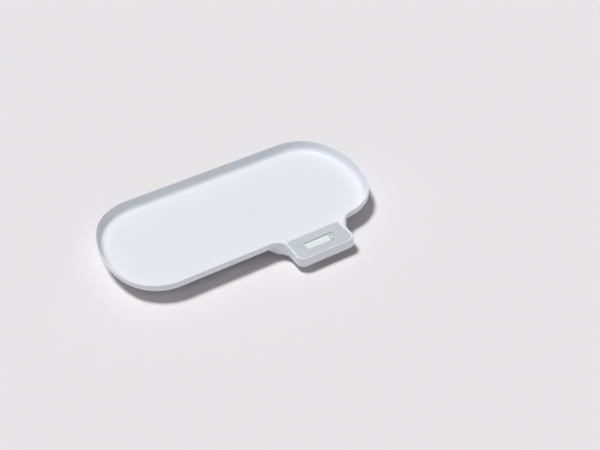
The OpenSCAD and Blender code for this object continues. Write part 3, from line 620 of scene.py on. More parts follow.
# %% Return walls
def return_wall(side):
    """A wall of even thickness from a flare's end to the rib, over the two lines of its faces.

    Its top is the circle about the fillet's centre halfway through the dish's shell."""
    middle = fillet_radius + wall_thickness / 2
    low_top, in_skirt = skirt_z + 0.5 * MM, 3.4 * MM
    sides = []
    for extra, upward in ((0, True), (pod_wall, False)):
        line = return_line(side, extra)
        inset = line[:, 1] - front_y
        across = np.clip(fillet_inset - inset, 0, middle)
        arc = fillet_z - np.sqrt(middle**2 - across**2)
        top = np.where(inset < in_skirt, low_top, np.minimum(arc, low_top))
        pair = [at_height(line, base_z), at_height(line, top)]
        sides += pair if upward else pair[::-1]
    grid = np.stack(sides, axis=1)
    if side == "right":
        grid = grid[:, ::-1]
    faces = grid_faces(len(grid), 4, wrap_columns=True)
    last = 4 * (len(grid) - 1)
    ends = [[0, 1, 2, 3], [last + 3, last + 2, last + 1, last]]
    return mesh_object("return_wall_" + side, grid, faces + ends)


cut(tray, [return_wall("left"), return_wall("right")], "UNION")
print("tray with its return walls:", len(tray.data.polygons), "faces")

# %% [markdown]
# The pod's deck has a shallow seat for the panel, an opening for the display glass and a hole under
# each key. The cutters are upright prisms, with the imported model's own clearances.

# %% Flat outlines
SLIP, PAST = 0.2 * MM, 1 * MM


def rounded_rectangle(centre, width, depth, radius, count=10, back_radius=None):
    """Four quarter circles, anticlockwise, whose centres are the corners pulled in by the radius."""
    back = radius if back_radius is None else back_radius
    turns = ((0, 1, 1, back), (90, -1, 1, back), (180, -1, -1, radius), (270, 1, -1, radius))
    quarters = []
    for start, sx, sy, r in turns:
        angle = np.radians(np.linspace(start, start + 90, count))
        pulled_in = np.array([sx * (width / 2 - r), sy * (depth / 2 - r)])
        quarters.append(pulled_in + r * np.stack([np.cos(angle), np.sin(angle)], 1))
    return np.concatenate(quarters) + np.asarray(centre)


def circle(centre, radius, count=64):
    """Places on a circle, anticlockwise."""
    angle = np.arange(count) * 2 * np.pi / count
    return np.asarray(centre) + radius * np.stack([np.cos(angle), np.sin(angle)], 1)


print("clearance", SLIP / MM, "mm; cutters reach", PAST / MM, "mm past what they cut")

# %% [markdown]
# The panel's seat is cut with the same plan that later makes the panel, drawn out by the clearance.

# %% Seat, opening and holes in the deck
panel_low, panel_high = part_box("display_panel")
panel_middle = (panel_low + panel_high) / 2
panel_width, panel_depth = panel_high.x - panel_low.x, panel_high.y - panel_low.y
panel_corner, panel_back_corner = 10 * MM, 6 * MM


def panel_plan(inset):
    """The panel's plan, drawn in by an inset."""
    return rounded_rectangle(
        panel_middle.to_2d(), panel_width - 2 * inset, panel_depth - 2 * inset,
        panel_corner - inset, 16, panel_back_corner - inset,
    )


glass_low, glass_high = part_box("lcd_glass")
window_middle = ((glass_low + glass_high) / 2).to_2d()
window_width, window_depth, window_corner = 61.5 * MM, 18.8 * MM, 2 * MM
key_radius, key_gap = 4.6 * MM, 0.25 * MM
key_places = []
for side in ("left", "right"):
    key_low, key_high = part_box(side + "_key")
    key_places.append(((key_low + key_high) / 2).to_2d())
opening = (glass_high - glass_low).to_2d() + Vector((1 * MM, 1 * MM))
cut(tray, [
    prism("panel_seat", panel_plan(-SLIP), panel_low.z, deck_z + PAST),
    prism("display_opening", rounded_rectangle(
        window_middle, opening.x, opening.y, 1 * MM, 4
    ), deck_under - PAST, deck_z + PAST),
] + [
    prism("key_hole", circle(place, key_radius + key_gap), deck_under - PAST, deck_z + PAST)
    for place in key_places
])
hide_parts("tray_shell")
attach(tray, "scale_body")
print("tray with its seat and holes:", len(tray.data.polygons), "faces")

# %% [markdown]
# ## Panel, window and display
# The panel is a pale film on a thin plate, let into the deck. Its outer edge is rolled over a
# little, which gives the thin bright line round it. The window and the key holes are cut clean.

# %% Panel
def rounded_plate(name, plan_at, low, high, edge, foot=0.0, steps=5):
    """A plate whose upper edge is a quarter circle of radius edge, and whose lower one is foot.

    plan_at(inset) gives the plan drawn in by an inset; each height on the quarter circle takes the
    inset of the same angle."""
    rings = []
    if foot:
        for a in np.linspace(0, math.pi / 2, steps):
            rings.append((foot * (1 - math.sin(a)), low + foot * (1 - math.cos(a))))
    else:
        rings.append((0.0, low))
    for a in np.linspace(0, math.pi / 2, steps):
        rings.append((edge * (1 - math.cos(a)), high - edge * (1 - math.sin(a))))
    grid = np.stack([at_height(plan_at(inset), z) for inset, z in rings], axis=1)
    return mesh_object(name, grid, swept_solid(grid))


panel = rounded_plate("panel", panel_plan, panel_low.z, panel_high.z, 0.35 * MM)
cut(panel, [
    prism("window_hole", rounded_rectangle(
        window_middle, window_width, window_depth, window_corner
    ), panel_low.z - PAST, panel_high.z + PAST),
] + [
    prism("key_window", circle(place, key_radius + key_gap), panel_low.z - PAST,
          panel_high.z + PAST)
    for place in key_places
])
smooth_by_angle(panel, 40)
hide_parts("display_panel")
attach(panel, "scale_body")
print("panel:", round(panel_width / MM, 1), "by", round(panel_depth / MM, 1), "mm")

# %% [markdown]
# The lens is one clear piece with a step: the wide flange sits behind the panel, and the step
# fills the window. It is the same plan carried up a profile with two widths.

# %% Lens
lens_low, lens_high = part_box("lcd_lens")


def lens_surface():
    """The flange's rectangle and the step's rounded rectangle, joined where the step rises."""
    flange_w, flange_d = lens_high.x - lens_low.x, lens_high.y - lens_low.y
    step_w, step_d = window_width - SLIP, window_depth - SLIP
    flange_top, flange_corner, edge = panel_low.z, 0.4 * MM, 0.15 * MM
    rings = [
        (flange_w, flange_d, flange_corner, lens_low.z),
        (flange_w, flange_d, flange_corner, flange_top),
        (step_w, step_d, window_corner, flange_top),
    ]
    for a in np.linspace(0, math.pi / 2, 4):
        inset = edge * (1 - math.cos(a))
        rings.append((
            step_w - 2 * inset, step_d - 2 * inset, window_corner - inset,
            lens_high.z - edge * (1 - math.sin(a)),
        ))
    grid = np.stack([
        at_height(rounded_rectangle(window_middle, w, d, r), z) for w, d, r, z in rings
    ], axis=1)
    return mesh_object("display_lens", grid, swept_solid(grid))


lens = smooth_by_angle(lens_surface(), 30)
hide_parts("lcd_lens")
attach(lens, "scale_body")
print("lens top", round(lens_high.z / MM, 2), "mm, panel top", round(panel_high.z / MM, 2), "mm")

# %% [markdown]
# The display shows a single 0 near its right end. Like every seven-part digit, it is drawn from
# bars with pointed ends and hairline gaps between them, and it leans a little to the right.

# %% Digit
digit_middle = (118.6 * MM, window_middle.y - 0.6 * MM)
digit_height, digit_width, bar = 13.0 * MM, 7.2 * MM, 1.45 * MM
digit_lean = math.tan(math.radians(7.5))


def digit_bars():
    """Six of the seven bars, as a 0 has them. Each is a hexagon whose two ends are points.

    A bar runs from one corner of the digit's middle line to the next, and the whole leans by
    adding the height times the tangent of the lean to x."""
    w, h = (digit_width - bar) / 2, (digit_height - bar) / 2
    turns = [(-w, h), (w, h), (w, 0), (w, -h), (-w, -h), (-w, 0), (-w, h)]
    gap, plans = 0.14 * MM, []
    for start, end in zip(np.array(turns[:-1]), np.array(turns[1:])):
        along = (end - start) / np.linalg.norm(end - start)
        across = np.array([-along[1], along[0]]) * bar / 2
        a, b = start + along * gap, end - along * gap
        shoulder = along * bar / 2
        plan = np.array([
            a, a + shoulder - across, b - shoulder - across,
            b, b - shoulder + across, a + shoulder + across,
        ])
        plan[:, 0] += plan[:, 1] * digit_lean
        plans.append(plan + np.array(digit_middle))
    return plans


ink_thickness = 0.05 * MM
bars = [prism("bar", plan, glass_high.z, glass_high.z + ink_thickness) for plan in digit_bars()]
print("digit 0 of", len(bars), "bars")
digit = joined("display_digit", bars)
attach(digit, "scale_body")

# %% [markdown]
# ## Keys
# Each key is a low crowned cap in a round hole. A turned profile gives the crown and the soft edge.
# The left one has a power mark, and the right one has a ring for zero.

# %% Turned solids
def turned(name, centre, profile, count=96):
    """A closed solid of revolution: every (radius, height) of a profile, carried round the axis.

    The profile goes up the outside, and ends near the axis below and above."""
    angle = np.arange(count) * 2 * np.pi / count
    unit = np.stack([np.cos(angle), np.sin(angle)], 1)
    profile = np.asarray(profile, float)
    xy = np.asarray(centre) + unit[:, None, :] * profile[None, :, :1]
    z = np.broadcast_to(profile[None, :, 1:], (count, len(profile), 1))
    grid = np.concatenate([xy, z], axis=2)
    return mesh_object(name, grid, swept_solid(grid))


def rounded_corner(radius, height, edge, steps=6, lower=False):
    """A quarter circle that turns a cylinder's wall into its top, or its foot into its wall."""
    angle = np.linspace(0, math.pi / 2, steps)
    long, short = edge * (1 - np.cos(angle)), edge * (1 - np.sin(angle))
    if lower:
        return np.column_stack([radius - short, height + long])
    return np.column_stack([radius - long, height - short])


near_axis = 0.3 * MM
print("profiles begin and end", near_axis / MM, "mm from the axis")

# %% [markdown]
# A key's profile is its flange below the deck, the upright wall, a soft edge and a low crown.

# %% Key caps
key_crown = 0.22 * MM


def crown_height(radius):
    """Height of the cap: a parabola that falls by the crown from the middle to the edge."""
    return key_high.z - key_crown * (np.asarray(radius) / key_radius) ** 2


def key_cap(side, place):
    """The flange below, the cap's wall, its soft edge, and the crown."""
    edge, flange_height = 0.45 * MM, 1 * MM
    flange, flange_top = (key_high.x - key_low.x) / 2, key_low.z + flange_height
    inner = np.linspace(key_radius - edge, near_axis, 12)
    wall = rounded_corner(key_radius, crown_height(key_radius - edge), edge)
    profile = np.concatenate([
        [[near_axis, key_low.z], [flange, key_low.z], [flange, flange_top],
         [key_radius, flange_top]],
        wall, np.column_stack([inner, crown_height(inner)])[1:],
    ])
    cap = smooth_by_angle(turned(side + "_key_cap", place, profile), 40)
    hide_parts(side + "_key")
    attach(cap, side + "_key_body")
    return cap


left_place, right_place = (np.array(p) for p in key_places)
key_caps = [key_cap("left", left_place), key_cap("right", right_place)]
print("key caps at", [tuple(round(v / MM, 1) for v in p) for p in key_places])

# %% [markdown]
# A mark is printed on the crown. It is a ribbon that follows the cap's curve, a hair above it.

# %% Marks on the keys
def mark_strip(name, side, place, path, width, closed):
    """A printed line: a ribbon along a path, laid on the crown and a hair thick."""
    path = np.asarray(path, float)
    ahead = np.roll(path, -1, 0) if closed else np.concatenate([path[1:], path[-1:]])
    behind = np.roll(path, 1, 0) if closed else np.concatenate([path[:1], path[:-1]])
    along = ahead - behind
    along /= np.linalg.norm(along, axis=1)[:, None]
    across = np.stack([along[:, 1], -along[:, 0]], 1) * width / 2
    sides = [path + across, path - across]
    heights = [crown_height(np.linalg.norm(s, axis=1)) for s in sides]
    low, high = -0.05 * MM, 0.03 * MM
    section = ((0, low), (1, low), (1, high), (0, high))
    grid = np.stack([at_height(sides[k] + place, heights[k] + z) for k, z in section], axis=1)
    n = len(path)
    faces = grid_faces(n, 4, wrap_rows=closed, wrap_columns=True)
    if not closed:
        faces += [[0, 1, 2, 3], [4 * n - 1, 4 * n - 2, 4 * n - 3, 4 * n - 4]]
    mark = mesh_object(name, grid, [face[::-1] for face in faces])
    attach(mark, side + "_key_body")
    return mark


mark_radius, mark_width = 1.9 * MM, 0.5 * MM
half_gap, tall_share = 35, 1.15  # degrees; the zero is taller than it is wide
ring_turn = np.radians(np.linspace(90 + half_gap, 450 - half_gap, 40))
power_ring = mark_radius * np.stack([np.cos(ring_turn), np.sin(ring_turn)], 1)
power_bar = np.array([[0, 0.5 * MM], [0, 2.5 * MM]])
zero_ring = circle((0, 0), mark_radius, 48) * np.array([0.74, tall_share])
marks = [
    mark_strip("power_mark_ring", "left", left_place, power_ring, mark_width, False),
    mark_strip("power_mark_bar", "left", left_place, power_bar, mark_width, False),
    mark_strip("zero_mark_ring", "right", right_place, zero_ring, mark_width, True),
]
print(len(marks), "marks")

# %% [markdown]
# ## Bottom cover
# The cover is flat and fills the frame that the rib makes. Four square wells hold the load cells,
# a box holds the batteries, and ten short towers take the screws. All lower edges are rounded,
# because a moulding has no sharp ones.

# %% Plans of the cover
def dish_plan(inset):
    """The dish's own outline, without the pod, drawn in by an inset."""
    corner = arc_stations((corner_x, tray_y - corner_y), corner_radius, 270, 360 - bow_angle)
    front = line_stations((-corner_x, front_y), (corner_x, front_y), (0, -1))
    place, away = join_stretches([corner] + tray_stretches[1:-1] + [front])
    return place - inset * away


def pod_plan(inset):
    """The pod's outline drawn in by an inset, with the two lines that run back under the dish."""
    place, away = join_stretches(pod_stretches)
    loop = place - inset * away
    left, right = return_line("left", inset), return_line("right", inset)
    aside, back = 2.9 * MM, 5 * MM
    ends = left[-1:] + np.array([[-aside, back]]), right[-1:] + np.array([[aside, back]])
    return np.concatenate([ends[0], left[::-1], loop[1:], right, ends[1]])


def square(centre, side, radius, count=8):
    """A square with rounded corners."""
    return rounded_rectangle(centre, side, side, radius, count)


def block(name, centre, width, depth, low, high, radius=0.3 * MM):
    """An upright block with slightly rounded corners."""
    return prism(name, rounded_rectangle(centre, width, depth, radius, 4), low, high)


print("the dish's plan has", len(dish_plan(0)), "places, the pod's has", len(pod_plan(0)))

# %% [markdown]
# The feet stand near the four corners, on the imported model's own places. The screw towers are
# shared out along the frame, with two in the pod's front corners, and the battery bay lies behind
# the pod.

# %% Places on the cover
corners = ("fl", "fr", "bl", "br")
foot_places = {}
for corner in corners:
    pad_low, pad_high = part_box("foot_pad_" + corner)
    foot_places[corner] = np.array(((pad_low + pad_high) / 2).to_2d())
tower_radius, pod_tower_radius = 5.2 * MM, 4.4 * MM
front_towers, back_towers, end_towers = (-130, -20, 152), (-130, 0, 130), (-232, 232)
tower_places = [(x * MM, -77.6 * MM) for x in front_towers]
tower_places += [(x * MM, 137.6 * MM) for x in back_towers]
tower_places += [(x * MM, tray_y) for x in end_towers]
pod_tower_in = pod_corner - (pod_corner - pod_wall - SLIP - pod_tower_radius) / math.sqrt(2)
pod_tower_places = [
    (x, pod_front + pod_tower_in) for x in (pod_left + pod_tower_in, pod_right - pod_tower_in)
]
bay_middle = np.array([pod_middle, -48 * MM])
door_low, door_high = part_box("battery_door")
bay_inside = np.array([50.0 * MM, 32.9 * MM])
bay_wall, rail_wall = 1.8 * MM, 3.2 * MM
battery_radius, battery_pitch = 5.25 * MM, 10.9 * MM
print("feet at", {c: tuple(np.round(p / MM, 1)) for c, p in foot_places.items()})

# %% [markdown]
# The cover is joined from closed solids: the plate, the pod's floor, the wells, the battery bay and
# the towers. Each one is a plan carried up with a rounded foot.

# %% Solids of the cover
cover_thickness, well_depth, cell_depth = 1.8 * MM, 7 * MM, 1 * MM
cover_top, well_low, cell_top = base_z + cover_thickness, base_z - well_depth, base_z - cell_depth
tower_low, tower_seat = base_z - 3.4 * MM, base_z - 1.7 * MM
pod_tower_top, pod_tower_seat = base_z + 3.2 * MM, base_z + 1.7 * MM
bay_low, bay_top, bay_ceiling = door_low.z + 0.5 * MM, under_z - 0.6 * MM, under_z - 1.5 * MM
well_outside, well_corner = 40 * MM, 6 * MM
thin_edge, plate_edge, tower_edge, well_edge = 0.1 * MM, 0.4 * MM, 0.6 * MM, 1.0 * MM


def cover_solids():
    """The pod's floor, the wells, the bay and the towers, which are joined to the plate."""
    solids = [rounded_plate(
        "pod_floor", lambda s: pod_plan(pod_wall + SLIP + s), base_z, cover_top, thin_edge, plate_edge
    )]
    solids += [rounded_plate(
        "well", lambda s, p=place: square(p, well_outside - 2 * s, well_corner - s),
        well_low, base_z + 0.9 * MM, thin_edge, well_edge,
    ) for place in foot_places.values()]
    bay_outside = bay_inside + 2 * np.array([bay_wall, rail_wall])
    solids.append(rounded_plate(
        "bay", lambda s: rounded_rectangle(bay_middle, *(bay_outside - 2 * s), 2.2 * MM - s),
        bay_low, bay_top, 0.3 * MM, tower_edge,
    ))
    solids += [rounded_plate(
        "tower", lambda s, p=place: circle(p, tower_radius - s), tower_low, cover_top, thin_edge,
        tower_edge,
    ) for place in tower_places]
    solids += [
        prism("pod_tower", circle(place, pod_tower_radius), base_z + thin_edge * 2,
              pod_tower_top - thin_edge)
        for place in pod_tower_places
    ]
    return solids


print(len(tower_places) + len(pod_tower_places), "screw towers")

# %% [markdown]
# Then the rooms are cut: for the load cells and their leads, the batteries, the door's tongues and
# the contacts' tabs.

# %% Rooms in the cover
def well_cutters(place):
    """The well's room, the cell's seat, the room over its tongue and the slot for its leads."""
    lead_place = place - np.array([np.sign(place[0]) * 11.5 * MM, 0])
    return [
        prism("well_room", square(place, 36.4 * MM, 4.2 * MM), well_low - PAST, cell_top),
        prism("cell_seat", square(place, 28 * MM, 1 * MM), cell_top - PAST, base_z),
        prism("tongue_room", circle(place, 6 * MM), cell_top - PAST, cover_top + PAST),
        block("lead_slot", lead_place, 13 * MM, 4 * MM, base_z - PAST, cover_top + PAST, 1.9 * MM),
    ]


def bay_cutters():
    """The batteries' room, the grooves and the way for the door, and four slots for tabs."""
    left_end = bay_middle - np.array([bay_inside[0] / 2, 0])
    groove_low, way_top, groove_depth = door_low.z + 1.5 * MM, door_low.z + 2.6 * MM, 1.4 * MM
    grooves_middle = bay_middle - np.array([(bay_wall + PAST) / 2, 0])
    way_middle = left_end - np.array([bay_wall / 2, 0])
    cutters = [
        block("battery_room", bay_middle, *bay_inside, door_low.z - PAST, bay_ceiling),
        block("door_grooves", grooves_middle, bay_inside[0] + bay_wall + PAST,
              bay_inside[1] + 2 * groove_depth, groove_low, way_top, thin_edge),
        block("door_way", way_middle, bay_wall + 2 * PAST, bay_inside[1], door_low.z - PAST,
              way_top, thin_edge),
    ]
    tab_low, tab_high = cover_top + 0.05 * MM, cover_top + 0.45 * MM
    for x in (left_end[0] - bay_wall / 2, left_end[0] + bay_inside[0] + bay_wall / 2):
        for y in (-battery_pitch, battery_pitch):
            cutters.append(block("tab_slot", (x, bay_middle[1] + y), bay_wall + 2 * PAST, 3.4 * MM,
                                 tab_low, tab_high, thin_edge))
    return cutters


bay_rooms = bay_cutters()
print(len(bay_rooms), "cutters for the battery bay")

# %% [markdown]
# Each tower has a pocket below for its screw's head, and each well has two hooks that carry the
# cell.

# %% Screws and hooks
def screw_cutters():
    """In each tower a pocket for the head, a hole for the shank and a seat for the tray's boss."""
    head, shank, boss_seat = 2.95 * MM, 1.45 * MM, 3.5 * MM
    cutters = []
    for place in tower_places:
        cutters += [
            prism("head", circle(place, head), tower_low - PAST, tower_seat),
            prism("shank", circle(place, shank), tower_low, cover_top + PAST),
            prism("boss_seat", circle(place, boss_seat), tower_seat + 1.4 * MM, cover_top + PAST),
        ]
    for place in pod_tower_places:
        cutters += [
            prism("head", circle(place, head), base_z - PAST, pod_tower_seat),
            prism("shank", circle(place, shank), base_z, pod_tower_top),
        ]
    return cutters


def cell_hooks():
    """Two hooks in each well, on the front and back wall, which carry the cell."""
    hook_low, hook_high = cell_top - 2.5 * MM, cell_top - 1.3 * MM
    return [
        block("hook", place + np.array([0, sign * 17.6 * MM]), 6 * MM, 2 * MM, hook_low, hook_high)
        for place in foot_places.values() for sign in (-1, 1)
    ]


cover = rounded_plate(
    "cover", lambda s: dish_plan(rib_in + SLIP + s), base_z, cover_top, thin_edge, plate_edge
)
cut(cover, cover_solids(), "UNION")
cut(cover, [cutter for place in foot_places.values() for cutter in well_cutters(place)])
cut(cover, bay_rooms + screw_cutters())
cut(cover, cell_hooks(), "UNION")
smooth_by_angle(cover, 35)
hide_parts("bottom_cover")
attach(cover, "scale_body")
print("cover:", len(cover.data.polygons), "faces")

# %% [markdown]
# The tray has a hollow boss over every tower, over the pod's two front corners and at the board's
# four corners.

# %% Bosses under the tray
board_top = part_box("main_board")[1].z
screws_low, screws_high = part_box("board_screws")
board_screw_places = [
    (x, y) for x in (screws_low.x + 2 * MM, screws_high.x - 2 * MM)
    for y in (screws_low.y + 2 * MM, screws_high.y - 2 * MM)
]
boss_radius, pilot_radius, board_boss_radius, board_pilot_radius = (
    3.3 * MM, 1.25 * MM, 2.6 * MM, 1.05 * MM
)
root = 0.5 * MM
boss_rows = [
    # places, boss radius, pilot radius, foot, underside above it, top of the pilot hole
    (tower_places, boss_radius, pilot_radius, tower_seat + 1.5 * MM, under_z, under_z + 0.8 * MM),
    (pod_tower_places, boss_radius, pilot_radius, pod_tower_top, deck_under, pod_tower_top + 8 * MM),
    (board_screw_places, board_boss_radius, board_pilot_radius, board_top, deck_under,
     deck_under - 0.6 * MM),
]
cut(tray, [
    prism("boss", circle(place, boss), foot, under + root)
    for places, boss, _, foot, under, _ in boss_rows for place in places
], "UNION")
cut(tray, [
    prism("pilot", circle(place, pilot), foot - root, pilot_top)
    for places, _, pilot, foot, _, pilot_top in boss_rows for place in places
])
smooth_by_angle(tray, 32)
print("tray with its bosses:", len(tray.data.polygons), "faces")

# %% [markdown]
# ## Battery door
# A thin plate with a tongue along each side, which runs in the bay's grooves. Five rounded ridges
# near its left end give the finger a hold.

# %% Battery door
def rounded_bar(name, centre, width, length, corner, low, high, edge):
    """A bar with rounded corners and a rounded lower edge."""
    return rounded_plate(
        name, lambda s: rounded_rectangle(centre, width - 2 * s, length - 2 * s, corner - s, 6),
        low, high, edge, 0.45 * MM,
    )


door_middle, tongue_reach = ((door_low + door_high) / 2).to_2d(), 1.2 * MM
door_length = door_high.x - door_low.x
door_width = door_high.y - door_low.y - 2 * tongue_reach
ridge_height, ridge_width, ridge_length, first_ridge, ridge_step = (
    0.5 * MM, 1.2 * MM, 16 * MM, 12 * MM, 3 * MM
)
door_plate_low, door_top = door_low.z + ridge_height, door_high.z
door = rounded_bar(
    "door", door_middle, door_length, door_width, 1.2 * MM, door_plate_low, door_top, 0.15 * MM
)
tongues = block("tongues", door_middle, door_length - 0.1 * MM, door_width + 2 * tongue_reach,
                door_top - 0.9 * MM, door_top, 0.4 * MM)
ridges = [rounded_bar(
    "ridge", (door_low.x + first_ridge + ridge_step * k, door_middle.y), ridge_width, ridge_length,
    ridge_width / 2 - 0.02 * MM, door_low.z, door_plate_low + 0.6 * MM, 0.02 * MM,
) for k in range(5)]
cut(door, [tongues] + ridges, "UNION")
smooth_by_angle(door, 40)
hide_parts("battery_door")
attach(door, "door_body")
print("door:", round(door_length / MM, 1), "by", round(door_width / MM, 1), "mm")

# %% [markdown]
# ## Feet
# Each foot is a cup with a rivet through the load cell's tongue. A ribbed rubber pad sits in it.

# %% Profiles of the feet
cup_radius, seat_radius, pad_radius, post_radius, stake_radius = (
    15.5 * MM, 14.2 * MM, 14.1 * MM, 5 * MM, 2 * MM
)
seat_depth, cup_top, cell_under = 1.6 * MM, base_z - 4.6 * MM, base_z - 2.2 * MM


def foot_cup(corner, place):
    """The cup's profile: up inside the pad's seat, round the skirt, over the top, up the stake."""
    low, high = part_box("foot_cup_" + corner)
    edge, round_top, stake_edge, bevel = 0.5 * MM, 1.1 * MM, 0.5 * MM, 0.2 * MM
    seat, step = low.z + seat_depth, 0.3 * MM
    profile = np.concatenate([
        [[near_axis, seat], [seat_radius, seat], [seat_radius, low.z + bevel],
         [seat_radius + bevel, low.z]],
        rounded_corner(cup_radius, low.z, edge, 5, lower=True),
        rounded_corner(cup_radius, cup_top, round_top, 7),
        [[post_radius + 1 * MM, cup_top], [post_radius + step, cup_top + step],
         [post_radius, cup_top + 1 * MM], [post_radius, cell_under], [stake_radius, cell_under]],
        rounded_corner(stake_radius, high.z, stake_edge, 5),
        [[near_axis, high.z]],
    ])
    return smooth_by_angle(turned("cup_" + corner, place, profile), 40)


def foot_pad(corner, place):
    """The pad's profile: a hollow middle, a ground ring with two shallow grooves, and its side.

    The rows of the underside are the radius and the height in millimetres."""
    high, edge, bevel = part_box("foot_pad_" + corner)[1], 0.8 * MM, 0.1 * MM
    below = [(0.3, 0.4), (9.1, 0.4), (9.6, 0.1), (10.1, 0.0), (10.9, 0.0)]
    groove = ((0, 0.3), (0.4, 0.3), (0.6, 0.0), (0.9, 0.0))
    below += [(start + reach, z) for start in (11.1, 12.3) for reach, z in groove]
    profile = np.concatenate([
        np.array(below) * MM, rounded_corner(pad_radius, 0.0, edge, 6, lower=True),
        [[pad_radius, high.z - bevel], [pad_radius - bevel, high.z], [near_axis, high.z]],
    ])
    return smooth_by_angle(turned("pad_" + corner, place, profile), 35)


print("cup", 2 * cup_radius / MM, "mm across, pad", 2 * pad_radius / MM, "mm across")

# %% [markdown]
# The four feet are alike, but each is its own body, because each presses on its own load cell.

# %% Feet
cups, pads = [], []
for corner, place in foot_places.items():
    for piece, node, slot_name, group in (
        (foot_cup(corner, place), "foot_cup_", "foot_plastic", cups),
        (foot_pad(corner, place), "foot_pad_", "pad_rubber", pads),
    ):
        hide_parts(node + corner)
        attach(piece, "foot_" + corner + "_body")
        group.append(piece)
print(len(cups), "cups and", len(pads), "pads")

# %% [markdown]
# ## Batteries and their springs
# Three small cells lie side by side, the middle one turned round. Each is a printed sleeve with bare
# steel ends, turned about an upright axis first and then laid along the bay.

# %% Batteries
cells_low, cells_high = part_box("batteries")
battery_z = (cells_low.z + cells_high.z) / 2
bay_left, bay_right = bay_middle[0] - bay_inside[0] / 2, bay_middle[0] + bay_inside[0] / 2


def lay_along_x(piece, place, flip):
    """Turns an upright solid at the origin so that its axis points along x, and puts it at a place."""
    points = np.array([v.co for v in piece.data.vertices])
    laid = np.stack([flip * points[:, 2], points[:, 1], -flip * points[:, 0]], 1)
    piece.data.vertices.foreach_set("co", (laid + np.asarray(place)).ravel())
    piece.data.update()
    return piece


def battery(k):
    """Sleeve and bare ends of one cell, from its flat end to its nub."""
    flip = 1 if k == 0 else -1
    length, nub, nub_radius, end_radius = 44.5 * MM, 0.8 * MM, 1.9 * MM, 4.5 * MM
    edge, collar, recess = 0.5 * MM, battery_radius - 0.6 * MM, 0.25 * MM
    nub_x = bay_left + 0.5 * MM if k == 0 else bay_right - 0.5 * MM
    place = (nub_x, bay_middle[1] + k * battery_pitch, battery_z)
    sleeve = turned("sleeve", (0, 0), np.concatenate([
        [[near_axis, nub + recess], [collar, nub + recess], [collar, nub]],
        rounded_corner(battery_radius, nub, edge, 5, lower=True),
        rounded_corner(battery_radius, length, edge, 5),
        [[collar, length], [collar, length - recess], [near_axis, length - recess]],
    ]), 64)
    disc, disc_end = nub + 0.12 * MM, nub + 0.4 * MM
    top = turned("nub", (0, 0), [
        [near_axis, 0], [nub_radius - 0.3 * MM, 0], [nub_radius, recess], [nub_radius, nub],
        [nub_radius + 0.4 * MM, disc], [end_radius, disc], [end_radius, disc_end],
        [near_axis, disc_end],
    ], 48)
    disc, disc_end = length - 0.4 * MM, length - 0.1 * MM
    bottom = turned("bottom", (0, 0), [
        [near_axis, disc], [end_radius, disc], [end_radius, disc_end], [near_axis, disc_end],
    ], 48)
    return [lay_along_x(piece, place, flip) for piece in (sleeve, top, bottom)]


made = [battery(k) for k in (-1, 0, 1)]
sleeves = smooth_by_angle(joined("battery_sleeves", [m[0] for m in made]), 40)
ends = smooth_by_angle(joined("battery_ends", [piece for m in made for piece in m[1:]]), 40)
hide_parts("batteries")
for piece, slot_name in ((sleeves, "battery_sleeve"), (ends, "contact_steel")):
    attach(piece, "scale_body")
print("batteries:", len(sleeves.data.polygons), "faces")

# %% [markdown]
# Each spring is a coil: a point goes round and along a cone, and a small circle is carried along
# that path. The turns at both ends lie closer together, as they do on a real battery spring.

# %% Springs
def coil(k):
    """Centre line: radius R(t) times (cosine, sine) of the turn about x, while x goes on with t.

    The wire's circle lies in the plane of the axis and the radius."""
    flip = -1 if k == 0 else 1
    plate, length, wire, turns, rows, sides = 0.4 * MM, 4.6 * MM, 0.3 * MM, 4.2, 150, 10
    wide, narrow, end_share = 3.3 * MM, 2.0 * MM, 0.06
    root_x = bay_right - plate if k == 0 else bay_left + plate
    t = np.linspace(0, 1, rows)
    turn = 2 * np.pi * turns * t
    radius = wide + (narrow - wide) * t
    along = wire + (length - 2 * wire) * smooth_step(end_share + (1 - 2 * end_share) * t)
    ring = np.arange(sides) * 2 * np.pi / sides
    reach = radius[:, None] + wire * np.cos(ring)
    grid = np.stack([
        root_x + flip * (along[:, None] + wire * np.sin(ring)),
        bay_middle[1] + k * battery_pitch + reach * np.cos(turn)[:, None],
        battery_z + reach * np.sin(turn)[:, None],
    ], axis=2)
    if flip > 0:
        grid = grid[:, ::-1]
    last = (rows - 1) * sides
    caps = [list(range(sides)), [last + j for j in range(sides - 1, -1, -1)]]
    faces = grid_faces(rows, sides, wrap_columns=True) + caps
    return mesh_object("coil", grid, [face[::-1] for face in faces])


springs = smooth_by_angle(joined("coil_springs", [coil(k) for k in (-1, 0, 1)]), 60)
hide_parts("battery_springs")
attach(springs, "scale_body")
print("springs:", len(springs.data.polygons), "faces")

# %% [markdown]
# ## Finishes
# Every finish is a node material on object coordinates, in metres, so its grain has a real size.

# %% Shader and nodes
SOCKETS = {
    "coat": "Coat Weight", "coat_roughness": "Coat Roughness", "metal": "Metallic",
    "specular": "Specular IOR Level",
}
finishes = {}


def shader_input(material, name):
    """An input of the material's main shader."""
    return material.node_tree.nodes["Principled BSDF"].inputs[name]


def finish(name, colour, roughness, **sockets):
    """A material with one Principled shader. Constant values go straight into its sockets."""
    material = bpy.data.materials.new(name)
    material.use_nodes = True
    shader_input(material, "Base Color").default_value = (*colour, 1)
    shader_input(material, "Roughness").default_value = roughness
    for socket, value in sockets.items():
        shader_input(material, SOCKETS[socket]).default_value = value
    finishes[name] = material
    return material


def add(material, kind, **settings):
    """Adds a node of a kind, with its settings."""
    node = material.node_tree.nodes.new(kind)
    for key, value in settings.items():
        setattr(node, key, value)
    return node


def link(material, source, target):
    """Joins an output to an input."""
    material.node_tree.links.new(source, target)


print(len(SOCKETS), "more inputs have a short name:", ", ".join(SOCKETS))

# %% [markdown]
# Real plastic is never quite even. Noise at two sizes varies the colour and the gloss, and a finer
# one stands for the grain of the mould.

